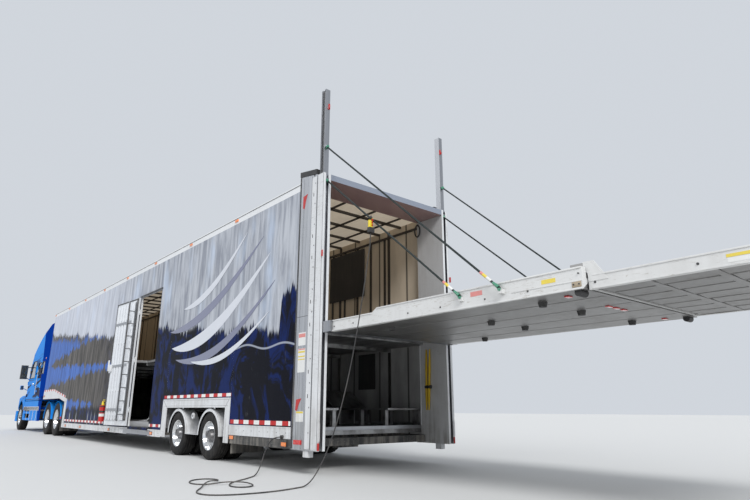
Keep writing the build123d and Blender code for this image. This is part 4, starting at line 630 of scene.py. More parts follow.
def piece(name, mesh, body, finish, stands_for=(), smooth=None):
    """Turns a bmesh into a piece that rides on a body, with one finish."""
    data = bpy.data.meshes.new(name)
    bmesh.ops.recalc_face_normals(mesh, faces=mesh.faces)
    mesh.to_mesh(data)
    mesh.free()
    if smooth is not None:
        data.shade_smooth()
        data.set_sharp_from_angle(angle=math.radians(smooth))
    made = bpy.data.objects.new(name, data)
    bpy.context.scene.collection.objects.link(made)
    data.materials.append(FINISHES[finish])
    if body:
        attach(made, body)
    if stands_for:
        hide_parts(*stands_for)
    return made


class CordSettings(bpy.types.PropertyGroup):
    """The lift control's lead."""
    diameter: FloatProperty(name="Diameter", description="Across the lead", default=0.014, min=0.005, unit="LENGTH")
    length: FloatProperty(name="Length", description="From the socket to the control", default=9.18, min=1,
                          unit="LENGTH")
    sides: IntProperty(name="Sides", description="Faces round the lead", default=10, min=6)


# The lead's route over the ground and up to the control: width, station and height in millimetres.
LEAD = (
    (1335.3, 200, 450), (1400, 200, 449), (1475, 192, 425), (1540, 175, 360), (1600, 150, 262), (1655, 118, 150),
    (1715, 75, 58), (1800, 10, 8), (1900, -90, 8), (2040, -215, 8), (2190, -320, 8), (2340, -435, 8),
    (2455, -590, 8), (2510, -740, 8), (2470, -880, 8), (2350, -910, 8), (2265, -810, 12), (2290, -680, 28),
    (2370, -590, 32), (2480, -510, 30), (2590, -450, 12), (2700, -370, 8), (2740, -230, 8), (2700, -70, 8),
    (2600, 70, 8), (2465, 110, 8), (2355, 20, 8), (2350, -120, 8), (2440, -240, 16), (2560, -340, 34),
    (2690, -480, 34), (2800, -650, 12), (2930, -820, 8), (3010, -1010, 8), (2970, -1200, 8), (2800, -1320, 8),
    (2590, -1370, 8), (2390, -1385, 8), (2200, -1360, 8), (2030, -1310, 8), (1894, -1270, 8), (1790, -1255, 70),
    (1705, -1265, 190), (1630, -1290, 350), (1560, -1325, 560), (1498, -1365, 820), (1445, -1408, 1110),
    (1400, -1450, 1420), (1362, -1490, 1740), (1330, -1526, 2050), (1302, -1560, 2350), (1278, -1586, 2630),
    (1255, -1600, 2800), (1255, -1600, 2951.4),
)


def spline_line(points, resolution=8):
    """Points along a NURBS spline through a route's control points."""
    data = bpy.data.curves.new("route", "CURVE")
    data.dimensions = "3D"
    data.resolution_u = resolution
    spline = data.splines.new("NURBS")
    spline.points.add(len(points) - 1)
    for control, point in zip(spline.points, points):
        control.co = (*point, 1.0)
    spline.order_u = 3
    spline.use_endpoint_u = True
    carrier = bpy.data.objects.new("route", data)
    bpy.context.scene.collection.objects.link(carrier)
    bpy.context.view_layer.update()
    evaluated = carrier.evaluated_get(bpy.context.evaluated_depsgraph_get())
    mesh = bpy.data.meshes.new_from_object(evaluated)
    line = [vertex.co.copy() for vertex in mesh.vertices]
    bpy.data.meshes.remove(mesh)
    bpy.data.objects.remove(carrier)
    bpy.data.curves.remove(data)
    return line


def join_rings(mesh, rings, closed=False):
    """Faces between neighbouring rings of points, and between the last and the first where closed."""
    pairs = list(zip(rings, rings[1:]))
    if closed:
        pairs.append((rings[-1], rings[0]))
    for first, second in pairs:
        for step in range(len(first)):
            after = (step + 1) % len(first)
            mesh.faces.new((first[step], first[after], second[after], second[step]))


def tube(mesh, line, radius, sides=8, capped=True):
    """A round tube along a line of points. The radius may be one number or one for each point."""
    radii = radius if hasattr(radius, "__len__") else [radius] * len(line)
    tangent = (line[1] - line[0]).normalized()
    up = tangent.orthogonal().normalized()
    rings = []
    for index, point in enumerate(line):
        before, after = line[max(0, index - 1)], line[min(len(line) - 1, index + 1)]
        turned = (after - before).normalized()
        up = (up - turned * up.dot(turned)).normalized()
        side = turned.cross(up)
        ring = []
        for step in range(sides):
            angle = 2 * math.pi * step / sides
            ring.append(mesh.verts.new(point + (up * math.cos(angle) + side * math.sin(angle)) * radii[index]))
        rings.append(ring)
    join_rings(mesh, rings)
    if capped:
        mesh.faces.new(rings[0][::-1])
        mesh.faces.new(rings[-1])


def lathe(mesh, profile, centre, segments=48, closed=False):
    """A surface turned round the X axis through a centre, from (x, radius) pairs."""
    rings = []
    for x, radius in profile:
        ring = []
        for step in range(segments):
            angle = 2 * math.pi * step / segments
            ring.append(mesh.verts.new(Vector((x, centre[1] + radius * math.cos(angle),
                                               centre[2] + radius * math.sin(angle)))))
        rings.append(ring)
    join_rings(mesh, rings, closed)
    return rings


def slab(mesh, low, high, bevel=0.0):
    """A block between two corners with its edges softened."""
    low, high = Vector(low), Vector(high)
    middle, size = (low + high) / 2, high - low
    made = bmesh.ops.create_cube(mesh, size=1.0, matrix=Matrix.LocRotScale(middle, None, size))
    if bevel:
        edges = {edge for vertex in made["verts"] for edge in vertex.link_edges}
        bmesh.ops.bevel(mesh, geom=list(edges), offset=bevel, segments=2, profile=0.6, affect="EDGES")


def prism(mesh, outline, direction):
    """A flat outline of 3D points carried along a direction."""
    low = [mesh.verts.new(point) for point in outline]
    high = [mesh.verts.new(Vector(point) + Vector(direction)) for point in outline]
    mesh.faces.new(low[::-1])
    mesh.faces.new(high)
    join_rings(mesh, [low, high])


def side_plate(mesh, points, face, thickness):
    """A thin plate on a side's face from (station, height) points. The face's width carries the side's sign."""
    outward = math.copysign(thickness, face)
    prism(mesh, [spot(face, station, height) for station, height in points], (outward, 0, 0))


def run_rectangle(station_from, station_to, height_from, height_to):
    """The corners of an upright rectangle, as stations and heights."""
    return ((station_from, height_from), (station_to, height_from), (station_to, height_to),
            (station_from, height_to))


# Lights: name, strength, size in radians and turns in degrees.
LIGHTS = (("key", 2.5, 0.35, (52, 0, 158)), ("fill", 0.7, 0.9, (60, 0, 70)))
# The camera: where it stands on the floor, the way it looks and how far it tilts up, in degrees.
CAMERA_FOOT = (5.57, 14.36)
CAMERA_HEADING = (-0.648, -0.7615, 0)
CAMERA_TILT = 15.8


class TRANSPORTER_OT_stage(bpy.types.Operator):
    """Adds the floor, the lights and the camera"""
    bl_idname = "transporter.stage"
    bl_label = "Stage"

    def execute(self, context):
        settings = context.scene.transporter_stage
        net, sockets = start_finish("studio_floor")
        grain = net.noise(net.place(), 60.0, 3)
        shade = settings.floor_colour
        surface(net, sockets, net.mix(grain, tone(shade, 0.94), tone(shade)), net.between(grain, 0.2, 0.8, 0.7, 0.85))
        mesh = bmesh.new()
        bmesh.ops.create_grid(mesh, x_segments=2, y_segments=2, size=settings.floor_size / 2)
        floor = piece("floor", mesh, None, "studio_floor")

        world = bpy.data.worlds.new("studio")
        context.scene.world = world
        world.use_nodes = True
        sky = world.node_tree.nodes["Background"]
        sky.inputs["Color"].default_value = (0.88, 0.93, 1.0, 1)
        sky.inputs["Strength"].default_value = 0.72

        for name, energy, size, turn in LIGHTS:
            light = bpy.data.lights.new(name, "SUN")
            light.energy = energy
            light.angle = size
            lamp = bpy.data.objects.new(name, light)
            lamp.rotation_euler = [math.radians(angle) for angle in turn]
            context.scene.collection.objects.link(lamp)

        camera_data = bpy.data.cameras.new("camera")
        camera_data.sensor_width = 36.0
        camera_data.lens = settings.lens
        camera_data.clip_end = 400.0
        camera = bpy.data.objects.new("camera", camera_data)
        camera.location = (*CAMERA_FOOT, settings.eye_height)
        tilt = math.radians(CAMERA_TILT)
        look = Vector(CAMERA_HEADING).normalized() * math.cos(tilt) + Vector((0, 0, math.sin(tilt)))
        camera.rotation_euler = look.to_track_quat("-Z", "Y").to_euler()
        context.scene.collection.objects.link(camera)
        context.scene.camera = camera
        context.scene.view_settings.view_transform = "Standard"
        return {"FINISHED"}


def faces_outward(place, normal):
    """True for the outer skin of the two arched wheel covers."""
    rise = place.z - TRAILER_WHEEL_RADIUS
    along = min((place.y - REAR_END + axle for axle in TRAILER_AXLES), key=abs)
    return rise * normal.z + along * normal.y > 0.6 * math.hypot(rise, along)


class TRANSPORTER_OT_finishes(bpy.types.Operator):
    """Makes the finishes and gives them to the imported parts"""
    bl_idname = "transporter.finishes"
    bl_label = "Finishes"

    def execute(self, context):
        make_finishes(context.scene.transporter_artwork)
        for part in frame["record"]["subparts"]:
            dress(part["node"], part["material_slot"])
        for name, side in SIDES:
            wall = f"side_wall_{name}"
            dress_where(wall, "lining", lambda place, normal: side * normal.x < -0.5)
            dress_where(wall, "rail_white", lambda place, normal: abs(normal.y) > 0.5 or abs(normal.z) > 0.5)
        dress_where("nose_wall", "lining", lambda place, normal: normal.y > 0.5)
        roof_top = 4.089
        dress_where("roof", "lining", lambda place, normal: place.x * normal.x < -0.5 and place.z < roof_top)
        dress("arch_frames", "rail_white")
        dress("headlamps", "headlamp")
        dress("rear_rail", "axle_black")
        dress_where("trailer_fenders", "rail_white", faces_outward)
        for node, rail_from in (("platform", 1.12), ("outer_deck", 1.06)):
            dress_where(node, "platform_white", lambda place, normal: abs(place.x) > rail_from)
        dress_where("rear_header", "visor_brown", lambda place, normal: normal.z < -0.3)
        dress_where("corner_posts", "post_lining",
                    lambda place, normal: abs(place.x) < 1.17 and place.x * normal.x < -0.5)
        return {"FINISHED"}


class TRANSPORTER_OT_lead(bpy.types.Operator):
    """Lays the lift control's lead from the socket on the rail to the control on the cable"""
    bl_idname = "transporter.lead"
    bl_label = "Control lead"

    def execute(self, context):
        settings = context.scene.transporter_cord
        points = [spot(width / 1000, station / 1000, height / 1000) for width, station, height in LEAD]
        line = spline_line(points)
        mesh = bmesh.new()
        tube(mesh, line, settings.diameter / 2, settings.sides)
        lead = piece("control_lead", mesh, None, "cord_rubber", smooth=60)
        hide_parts("cord_ground", "cord_rise")
        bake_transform(lead)
        return {"FINISHED"}


def bar(mesh, width, station, height, bevel=0.0):
    """A softened block between two widths, two stations and two heights."""
    slab(mesh, (min(width), REAR_END - max(station), min(height)), (max(width), REAR_END - min(station), max(height)),
         bevel)


def both(mesh, width, station, height, bevel=0.0):
    """The same block on both sides of the vehicle."""
    bar(mesh, width, station, height, bevel)
    bar(mesh, [-w for w in width], station, height, bevel)


def bolt(mesh, place, turn, radius=0.012, depth=0.012, sides=6):
    """A hexagon head at a place. The turn lays its axis, which stands upright, along another direction."""
    bmesh.ops.create_cone(mesh, cap_ends=True, segments=sides, radius1=radius, radius2=radius * 0.86, depth=depth,
                          matrix=Matrix.LocRotScale(place, turn, None))


SIDEWAYS = Matrix.Rotation(math.radians(90), 3, "Y").to_quaternion()
REARWARD = Matrix.Rotation(math.radians(90), 3, "X").to_quaternion()

# Each wheel: its name, the middle of its tyres, how far they stand from it, the tyre's width, station, radius and rim,
# then the rim's disc and cap from that middle.
WHEELS = (
    ("trailer_wheel_rear", 1.010, 0.150, 0.25, TRAILER_AXLES[0], TRAILER_WHEEL_RADIUS, 0.228, 0.000, 0.256),
    ("trailer_wheel_front", 1.010, 0.150, 0.25, TRAILER_AXLES[1], TRAILER_WHEEL_RADIUS, 0.228, 0.000, 0.256),
    ("drive_wheel_rear", 0.930, 0.170, 0.28, 14.00, 0.500, 0.286, 0.000, 0.270),
    ("drive_wheel_front", 0.930, 0.170, 0.28, 15.30, 0.500, 0.286, 0.000, 0.270),
    ("steer_wheel", 1.035, 0.000, 0.28, 20.65, 0.500, 0.286, 0.075, 0.150),
)


class WheelSettings(bpy.types.PropertyGroup):
    """Tyres and rims."""
    segments: IntProperty(name="Segments", description="Faces round a tyre, in threes", default=72, min=24)
    groove: FloatProperty(name="Groove", description="Depth of the tread", default=0.012, min=0.004, unit="LENGTH")
    nuts: IntProperty(name="Nuts", description="Wheel nuts", default=10, min=6)


def tyre(mesh, middle, width, centre, radius, rim, settings):
    """A tyre with four grooves round its tread and notched shoulders."""
    half = width / 2
    flank = [(half - 0.024, rim - 0.006), (half - 0.006, rim + 0.020), (half, rim + 0.5 * (radius - rim)),
             (half - 0.004, radius - 0.048), (half - 0.014, radius - 0.014), (half - 0.032, radius)]
    tread = []
    for place in (0.56, 0.19, -0.19, -0.56):
        groove = place * half
        tread += [(groove + 0.007, radius), (groove + 0.005, radius - settings.groove),
                  (groove - 0.005, radius - settings.groove), (groove - 0.007, radius)]
    far_flank = [(-x, r) for x, r in reversed(flank)]
    rings = lathe(mesh, [(middle + x, r) for x, r in flank + tread + far_flank], centre, settings.segments, True)
    # Every third point of the shoulders' rings is pulled in, which notches them.
    hub = Vector((0, centre[1], centre[2]))
    shoulders = (4, 5, len(rings) - 6, len(rings) - 5)
    for index in shoulders:
        for vertex in rings[index][::3]:
            spoke = Vector((0, vertex.co.y, vertex.co.z)) - hub
            vertex.co -= spoke.normalized() * settings.groove * 0.8


def rim_and_hub(mesh, side, middle, reach, centre, rim, disc, cap, settings):
    """A dished rim with its disc, hand holes, hub and nuts, and the inner rim behind it."""
    segments, hub_radius = 60, 0.108
    bolts = rim * 0.60
    front = [(reach - 0.020, rim + 0.008), (reach - 0.010, rim + 0.006), (reach - 0.012, rim - 0.004),
             (reach - 0.030, rim - 0.016), (disc + 0.045, rim - 0.028), (disc + 0.022, rim - 0.036),
             (disc + 0.006, rim - 0.054), (disc, bolts + 0.030), (disc + 0.006, bolts + 0.018),
             (disc + 0.010, bolts - 0.020), (disc + 0.012, hub_radius)]
    hub = [(disc + 0.012, hub_radius), (cap - 0.085, 0.098), (cap - 0.060, 0.080), (cap - 0.022, 0.074), (cap, 0.062),
           (cap, 0.0005)]
    back = [(-reach + 0.018, rim + 0.006), (-reach + 0.030, rim - 0.014), (disc - 0.040, rim - 0.028),
            (disc - 0.012, rim - 0.052), (disc - 0.014, 0.110)]
    rings, _, _ = (lathe(mesh, [(side * (middle + x), r) for x, r in profile], centre, segments)
                   for profile in (front, hub, back))
    # The hand holes are gaps in the disc, between two of its rings.
    first, second = rings[6], rings[7]
    gaps = []
    for step in range(segments):
        if step % 6 in (1, 2):
            after = (step + 1) % segments
            quad = {first[step], first[after], second[step], second[after]}
            gaps += [face for face in first[step].link_faces if set(face.verts) == quad]
    bmesh.ops.delete(mesh, geom=gaps, context="FACES_ONLY")
    for index in range(settings.nuts):
        angle = 2 * math.pi * (index + 0.5) / settings.nuts
        place = Vector((side * (middle + disc + 0.024), centre[1] + bolts * math.cos(angle),
                        centre[2] + bolts * math.sin(angle)))
        bolt(mesh, place, SIDEWAYS if side > 0 else SIDEWAYS.inverted(), 0.013, 0.034)


class TRANSPORTER_OT_wheels(bpy.types.Operator):
    """Makes the tyres with their tread and the polished rims with hubs and nuts"""
    bl_idname = "transporter.wheels"
    bl_label = "Wheels"

    def execute(self, context):
        settings = context.scene.transporter_wheels
        hub_reach = 0.105
        for name, middle, spacing, width, station, radius, rim, disc, cap in WHEELS:
            centre = (0, REAR_END - station, radius)
            for side_name, side in SIDES:
                body = f"{name}_{side_name}"
                rubber = bmesh.new()
                for offset in sorted({-spacing, spacing}):
                    tyre(rubber, side * (middle + offset), width, centre, radius, rim, settings)
                made = piece(f"{body}_tyres", rubber, body, "tyre", [body], smooth=32)
                turned = bmesh.new()
                rim_and_hub(turned, side, middle, spacing + width / 2, centre, rim, disc, cap, settings)
                rims = piece(f"{body}_rim", turned, body, "rim_polished", smooth=35)
                rims.data.materials.append(FINISHES["hub_grey"])
                for face in rims.data.polygons:
                    spoke = math.hypot(face.center.y - centre[1], face.center.z - centre[2])
                    if spoke < hub_reach:
                        face.material_index = 1
        return {"FINISHED"}


class Kit:
    """The meshes of one body's small pieces, each with its name and finish."""

    def __init__(self, body, smooth=None, **finishes):
        self.body, self.smooth, self.finishes = body, smooth, finishes
        self.meshes = {name: bmesh.new() for name in finishes}

    def __getitem__(self, name):
        return self.meshes[name]

    def blocks(self, name, *rows):
        """Adds blocks. A row holds widths, stations and heights from and to, and the bevel of softened edges."""
        for row in rows:
            bar(self.meshes[name], *row)

    def pairs(self, name, *rows):
        """Adds the same blocks on both sides of the vehicle."""
        for row in rows:
            both(self.meshes[name], *row)

    def build(self):
        """Turns the meshes into pieces that ride on the body."""
        for name, finish in self.finishes.items():
            piece(name, self.meshes[name], self.body, finish, smooth=self.smooth)


# Reflective tape on both sides: stations from and to, heights from and to.
TAPE_RUNS = (
    (1.83, 4.70, 1.012, 1.066),
    (0.03, 1.80, 0.596, 0.656),
    (4.78, 5.43, 0.468, 0.522),
    (8.64, 12.70, 0.468, 0.522),
    (14.50, 15.97, 1.385, 1.440),
)
# White rails on both sides in the same columns.
RAIL_RUNS = (
    (0.012, 1.825, 0.425, 0.580),
    (4.725, 5.445, 0.287, 0.420),
    (6.760, 12.845, 0.287, 0.420),
    (12.600, 12.845, 0.425, 1.030),
)
# The gooseneck's rail and its tape on both sides, each a plate with the corners given.
NECK_RAIL = ((15.985, 1.384), (14.50, 1.384), (12.845, 1.150), (12.600, 1.110), (12.600, 1.032), (12.852, 1.032),
             (13.600, 1.136), (15.985, 1.136))
NECK_TAPE = ((14.50, 1.440), (12.845, 1.206), (12.845, 1.152), (14.50, 1.386))
# Amber lamps on both sides: station, height and how far their base stands from the centre line.
SIDE_LAMPS = ((0.17, 0.355, 1.2955), (1.72, 0.390, 1.2955), (5.24, 0.345, 1.300), (8.08, 0.345, 1.300),
              (10.69, 0.350, 1.300), (12.34, 0.345, 1.300), (15.86, 1.235, 1.300))
# The rolled edges over the trailer's wheels, as widths and radii, and the cap between them.
FENDER_LIP = ((1.262, 0.4395), (1.280, 0.4370), (1.2895, 0.4290), (1.2925, 0.4160), (1.2925, 0.3925), (1.2900, 0.3925))
FENDER_CAP = (3.275, 0.700)
TAPE_PROUD = 0.0012
RAIL_PROUD = 0.006
RIVET_PITCH = 0.24


class TRANSPORTER_OT_trim(bpy.types.Operator):
    """Adds the reflective tape, the white rails with their rivets, the side lamps and the edges over the wheels"""
    bl_idname = "transporter.trim"
    bl_label = "Trim"

    def execute(self, context):
        kit = Kit("trailer", side_tape="tape", side_rails="rail_white", rail_rivets="hub_grey", side_lamps="lamp",
                  side_lamp_bezels="black_plastic", drip_rails="black_frame", arch_frame_lines="hub_grey")
        lips = bmesh.new()
        for s0, s1, z0, z1 in TAPE_RUNS:
            kit.pairs("side_tape", ((WALL_FACE, WALL_FACE + TAPE_PROUD), (s0, s1), (z0, z1)))
        for s0, s1, z0, z1 in RAIL_RUNS:
            kit.pairs("side_rails", ((WALL_FACE, WALL_FACE + RAIL_PROUD), (s0, s1), (z0, z1), 0.002),
                      ((WALL_FACE + 0.005, WALL_FACE + 0.010), (s0, s1), (z1 - 0.018, z1), 0.002))
            for index in range(int((s1 - s0) / RIVET_PITCH)):
                for _, side in SIDES:
                    place = spot(side * (WALL_FACE + 0.0065), s0 + (index + 0.5) * RIVET_PITCH, (z0 + z1) / 2)
                    bolt(kit["rail_rivets"], place, SIDEWAYS, 0.007, 0.006, 10)
        for station, height, face in SIDE_LAMPS:
            kit.pairs("side_lamp_bezels", ((face, face + 0.006), (station - 0.070, station + 0.070),
                                           (height - 0.034, height + 0.034), 0.003))
            kit.pairs("side_lamps", ((face + 0.004, face + 0.014), (station - 0.060, station + 0.060),
                                     (height - 0.026, height + 0.026), 0.004))
        kit.blocks("drip_rails", ((WALL_FACE, 1.318), (5.41, 6.80), (3.352, 3.378), 0.003))
        kit.pairs("drip_rails", ((1.2965, 1.300), (0.0, 16.0), (4.078, 4.086)))
        for _, side in SIDES:
            side_plate(kit["side_rails"], NECK_RAIL, side * WALL_FACE, RAIL_PROUD)
            side_plate(kit["side_tape"], NECK_TAPE, side * WALL_FACE, TAPE_PROUD)
            for axle in TRAILER_AXLES:
                lathe(lips, [(side * width, radius) for width, radius in FENDER_LIP],
                      (0, REAR_END - axle, TRAILER_WHEEL_RADIUS), 72)
            for mesh, inner, outer, radius, sides in ((lips, 1.270, 1.2925, 0.052, 24),
                                                      (kit["rail_rivets"], 1.290, 1.2940, 0.020, 16)):
                tube(mesh, [spot(side * inner, *FENDER_CAP), spot(side * outer, *FENDER_CAP)], radius, sides)
            lines = [run_rectangle(1.86, 4.70, 0.966, 0.970), run_rectangle(1.90, 4.66, 0.868, 0.871)]
            for s0, s1 in ((1.835, 1.995), (4.72, 4.50)):
                lines.append(((s0, 0.992), (s0 + (s1 - s0) * 0.06, 0.995), (s1, 0.846), (s1, 0.840)))
            for line in lines:
                side_plate(kit["arch_frame_lines"], line, side * ARCH_FACE, 0.0006)
        below = [vertex for vertex in lips.verts if vertex.co.z < TRAILER_WHEEL_RADIUS - 0.001]
        bmesh.ops.delete(lips, geom=below, context="VERTS")
        kit.build()
        piece("fender_lips", lips, "trailer", "rail_white", smooth=50)
        return {"FINISHED"}


# Swooping plates on both sides: stations and heights of the ends, the bow between them, half the depth, the finish.
RIBBONS = (
    (4.55, 1.98, 0.80, 3.20, 0.26, 0.120, "art_ribbon"),
    (4.72, 2.32, 1.05, 3.52, 0.20, 0.085, "art_shade"),
    (4.30, 1.74, 0.62, 2.72, 0.30, 0.075, "art_shade"),
    (4.10, 2.72, 1.60, 3.74, 0.14, 0.070, "art_ribbon"),
    (3.55, 1.66, 0.74, 2.26, 0.20, 0.050, "art_ribbon"),
)


class TRANSPORTER_OT_artwork(bpy.types.Operator):
    """Lays the tapered swooping plates on both painted sides"""
    bl_idname = "transporter.artwork"
    bl_label = "Side artwork"

    def execute(self, context):
        kit = Kit("trailer", side_art_ribbons="art_ribbon", side_art_shades="art_shade")
        steps, layer, thickness = 26, 0.0008, 0.0016
        for order, (s0, z0, s1, z1, bow, depth, finish) in enumerate(RIBBONS):
            upper, lower = [], []
            for index in range(steps + 1):
                along = index / steps
                arch = math.sin(math.pi * along)
                station = s0 + (s1 - s0) * along
                height = z0 + (z1 - z0) * along ** 1.35 - bow * arch
                half = depth * arch ** 0.8 * (1.25 - 0.5 * along) + 0.003
                upper.append((station, height + half))
                lower.append((station, height - half))
            for _, side in SIDES:
                face = side * (WALL_FACE + layer * order)
                for (a, b), (c, d) in zip(zip(upper, upper[1:]), zip(lower, lower[1:])):
                    side_plate(kit[f"side_{finish}s"], (a, b, d, c), face, thickness)
        for mesh in kit.meshes.values():
            bmesh.ops.remove_doubles(mesh, verts=mesh.verts, dist=0.0001)
        kit.build()
        return {"FINISHED"}


# Stay cables: name, how far they run from the centre line, the height of their top on the masts and the station of
# their end on the platform.
CABLES = (("upper", 1.242, 4.530, -3.520), ("lower", 1.2185, 4.000, -3.000))
CABLE_TOP_STATION = -0.572
CABLE_END_HEIGHT = 1.930
CABLE_RADIUS = 0.012
# Coloured sleeves: how far they start and stop from a cable's lower end, and their label's colour.
SLEEVES = ((0.13, 0.20, "white"), (0.20, 0.26, "yellow"), (0.26, 0.30, "pink"))


class TRANSPORTER_OT_rigging(bpy.types.Operator):
    """Strings the taut stay cables with their clevises and coloured sleeves, and marks the masts"""
    bl_idname = "transporter.rigging"
    bl_label = "Stay cables"

    def execute(self, context):
        upper_ends, lower_ends = bmesh.new(), bmesh.new()
        sleeves = {tint: bmesh.new() for _, _, tint in SLEEVES}
        for name, width, top, end in CABLES:
            strands = bmesh.new()
            for _, side in SIDES:
                start = spot(side * width, CABLE_TOP_STATION, top)
                stop = spot(side * width, end, CABLE_END_HEIGHT)
                along = (stop - start).normalized()
                tube(strands, [start.lerp(stop, index / 30) for index in range(31)], CABLE_RADIUS, 12)
                bar(upper_ends, (side * 1.2105, side * 1.2495), (-0.604, -0.566), (top - 0.030, top + 0.012), 0.004)
                tube(upper_ends, [start + along * reach for reach in (0.006, 0.036, 0.040, 0.046)],
                     [0.0123, 0.0123, 0.018, 0.015], 10)
                tube(lower_ends, [stop - along * 0.105, stop - along * 0.02], [0.0128, 0.020], 10)
                bolt(lower_ends, stop + Vector((side * 0.010, 0, -0.012)), SIDEWAYS, 0.016, 0.030)
                for near, far, tint in SLEEVES:
                    line = [stop - along * reach for reach in (near, (near + far) / 2, far)]
                    tube(sleeves[tint], line, 0.0155, 12)
            cable = piece(f"stay_cables_{name}", strands, None, "cable", ["lift_cables"], 40)
            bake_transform(cable)
        piece("cable_clevises_upper", upper_ends, "lift", "hook_green", smooth=40)
        piece("cable_clevises_lower", lower_ends, "platform", "hook_green", smooth=40)
        for tint, mesh in sleeves.items():
            band = piece(f"cable_sleeves_{tint}", mesh, "platform", f"label_{tint}", smooth=40)
            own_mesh(band)
        kit = Kit("lift", mast_slot_shade="black_plastic", mast_strips="bright_trim", mast_tags="safety_red")
        # Thin black strips down the masts' gaps and channel are painted shade.
        kit.pairs("mast_slot_shade", ((1.2698, 1.2712), (-0.553, -0.545), (1.80, 5.47)),
                  ((1.2698, 1.2712), (-0.479, -0.471), (1.80, 5.47)),
                  ((1.2525, 1.2535), (-0.533, -0.487), (1.80, 5.476)),
                  ((1.217, 1.232), (-0.5628, -0.5618), (2.05, 5.47)))
        kit.pairs("mast_strips", ((1.200, 1.214), (-0.5645, -0.5620), (2.05, 5.47), 0.001),
                  ((1.236, 1.246), (-0.5640, -0.5620), (2.05, 5.47), 0.001))
        kit.pairs("mast_tags", ((1.194, 1.222), (-0.580, -0.5625), (5.15, 5.24), 0.004),
                  ((1.210, 1.222), (-0.600, -0.578), (5.16, 5.19), 0.003))
        kit.build()
        return {"FINISHED"}


# Plates on the rear posts' outer faces: piece, stations, heights, how far they stand out, the bevel and the thickness.
POST_PLATES = (
    ("rear_post_edges", (-0.030, -0.001), (0.31, 4.19), 0.004, 0.001),
    ("rear_post_bands", (-0.438, -0.322), (0.32, 4.09), 0.005, 0.0015),
    ("rear_post_bands", (-0.598, -0.468), (0.31, 4.095), 0.006, 0.002),
    ("rear_post_seams", (-0.467, -0.452), (0.31, 4.09), 0.0015),
    ("rear_post_seams", (-0.318, -0.312), (0.31, 4.12), 0.0015),
    ("rear_post_seams", (-0.106, -0.102), (0.31, 4.15), 0.001),
    ("rear_post_seams", (-0.300, -0.040), (2.054, 2.060), 0.001),
    ("rear_post_lamps", (-0.243, -0.075), (0.366, 0.424), 0.016, 0.005, 0.016),
)
# Red patches on the same faces, as stations and heights of their corners.
POST_PATCHES = (
    ((-0.093, 0.94), (-0.216, 0.953), (-0.153, 0.867), (-0.123, 0.792), (-0.076, 0.802)),
    ((-0.090, 3.86), (-0.205, 3.88), (-0.160, 3.78), (-0.130, 3.66), (-0.088, 3.68)),
)
# Blank labels on them: heights from and to, then each colour band with its shares of that height.
POST_LABELS = (
    (0.654, 0.788, (("yellow", 0.80, 1.0),)),
    (1.657, 1.836, (("red", 0.62, 0.92),)),
    (1.295, 1.616, (("red", 0.94, 1.0), ("yellow", 0.82, 0.90), ("yellow", 0.64, 0.70), ("yellow", 0.52, 0.57))),
)


def post_plate(mesh, stations, heights, proud, bevel=0.0, thickness=0.0026):
    """A plate on both rear posts that stands out of their outer faces."""
    both(mesh, (POST_FACE + proud - thickness, POST_FACE + proud), stations, heights, bevel)


class TRANSPORTER_OT_posts(bpy.types.Operator):
    """Finishes the rear corner posts with their strips, rivets, blank labels and red patches"""
    bl_idname = "transporter.posts"
    bl_label = "Rear posts"

    def execute(self, context):
        dress_where("corner_posts", "rail_white",
                    lambda place, normal: place.y > REAR_END + 0.59 and normal.y > 0.5)
        dress_where("lamps", "rail_white", lambda place, normal: place.y > REAR_END)
        kit = Kit("trailer", rear_post_edges="black_frame", rear_post_bands="rail_white", rear_post_rivets="hub_grey",
                  rear_post_slot_shade="black_frame", rear_post_patches="safety_red", rear_labels_white="label_white",
                  rear_labels_yellow="label_yellow", rear_labels_red="label_pink", rear_post_feet="rail_white",
                  rear_post_seams="black_frame", rear_post_lamps="lamp_red")
        for name, *plate in POST_PLATES:
            post_plate(kit[name], *plate)
        for index in range(12):
            height = 0.52 + index * 0.315
            if index % 3:
                # Small black plates stand for the posts' slots: painted shade in the holes.
                post_plate(kit["rear_post_slot_shade"], (-0.378, -0.362), (height + 0.12, height + 0.17), 0.0056)
            for _, side in SIDES:
                bolt(kit["rear_post_rivets"], spot(side * 1.3005, -0.410, height), SIDEWAYS, 0.009, 0.008, 10)
        for _, side in SIDES:
            for patch in POST_PATCHES:
                side_plate(kit["rear_post_patches"], patch, side * WALL_FACE, 0.0014)
        for low, high, bands in POST_LABELS:
            post_plate(kit["rear_labels_white"], (-0.272, -0.098), (low, high), 0.0012, thickness=0.0014)
            for colour, start, stop in bands:
                span = (low + (high - low) * start, low + (high - low) * stop - 0.003)
                post_plate(kit[f"rear_labels_{colour}"], (-0.266, -0.104), span, 0.0018, thickness=0.0010)
        kit.pairs("rear_post_patches", ((1.296, 1.306), (-0.632, -0.601), (2.84, 2.93), 0.003),
                  ((1.262, 1.290), (-0.612, -0.600), (0.31, 0.40), 0.003))
        kit.pairs("rear_post_feet", ((1.200, 1.285), (-0.395, -0.275), (0.215, 0.299), 0.006))
        kit.pairs("rear_post_bands", ((1.150, 1.166), (-0.020, -0.006), (0.56, 1.84), 0.003))
        kit.build()
        return {"FINISHED"}


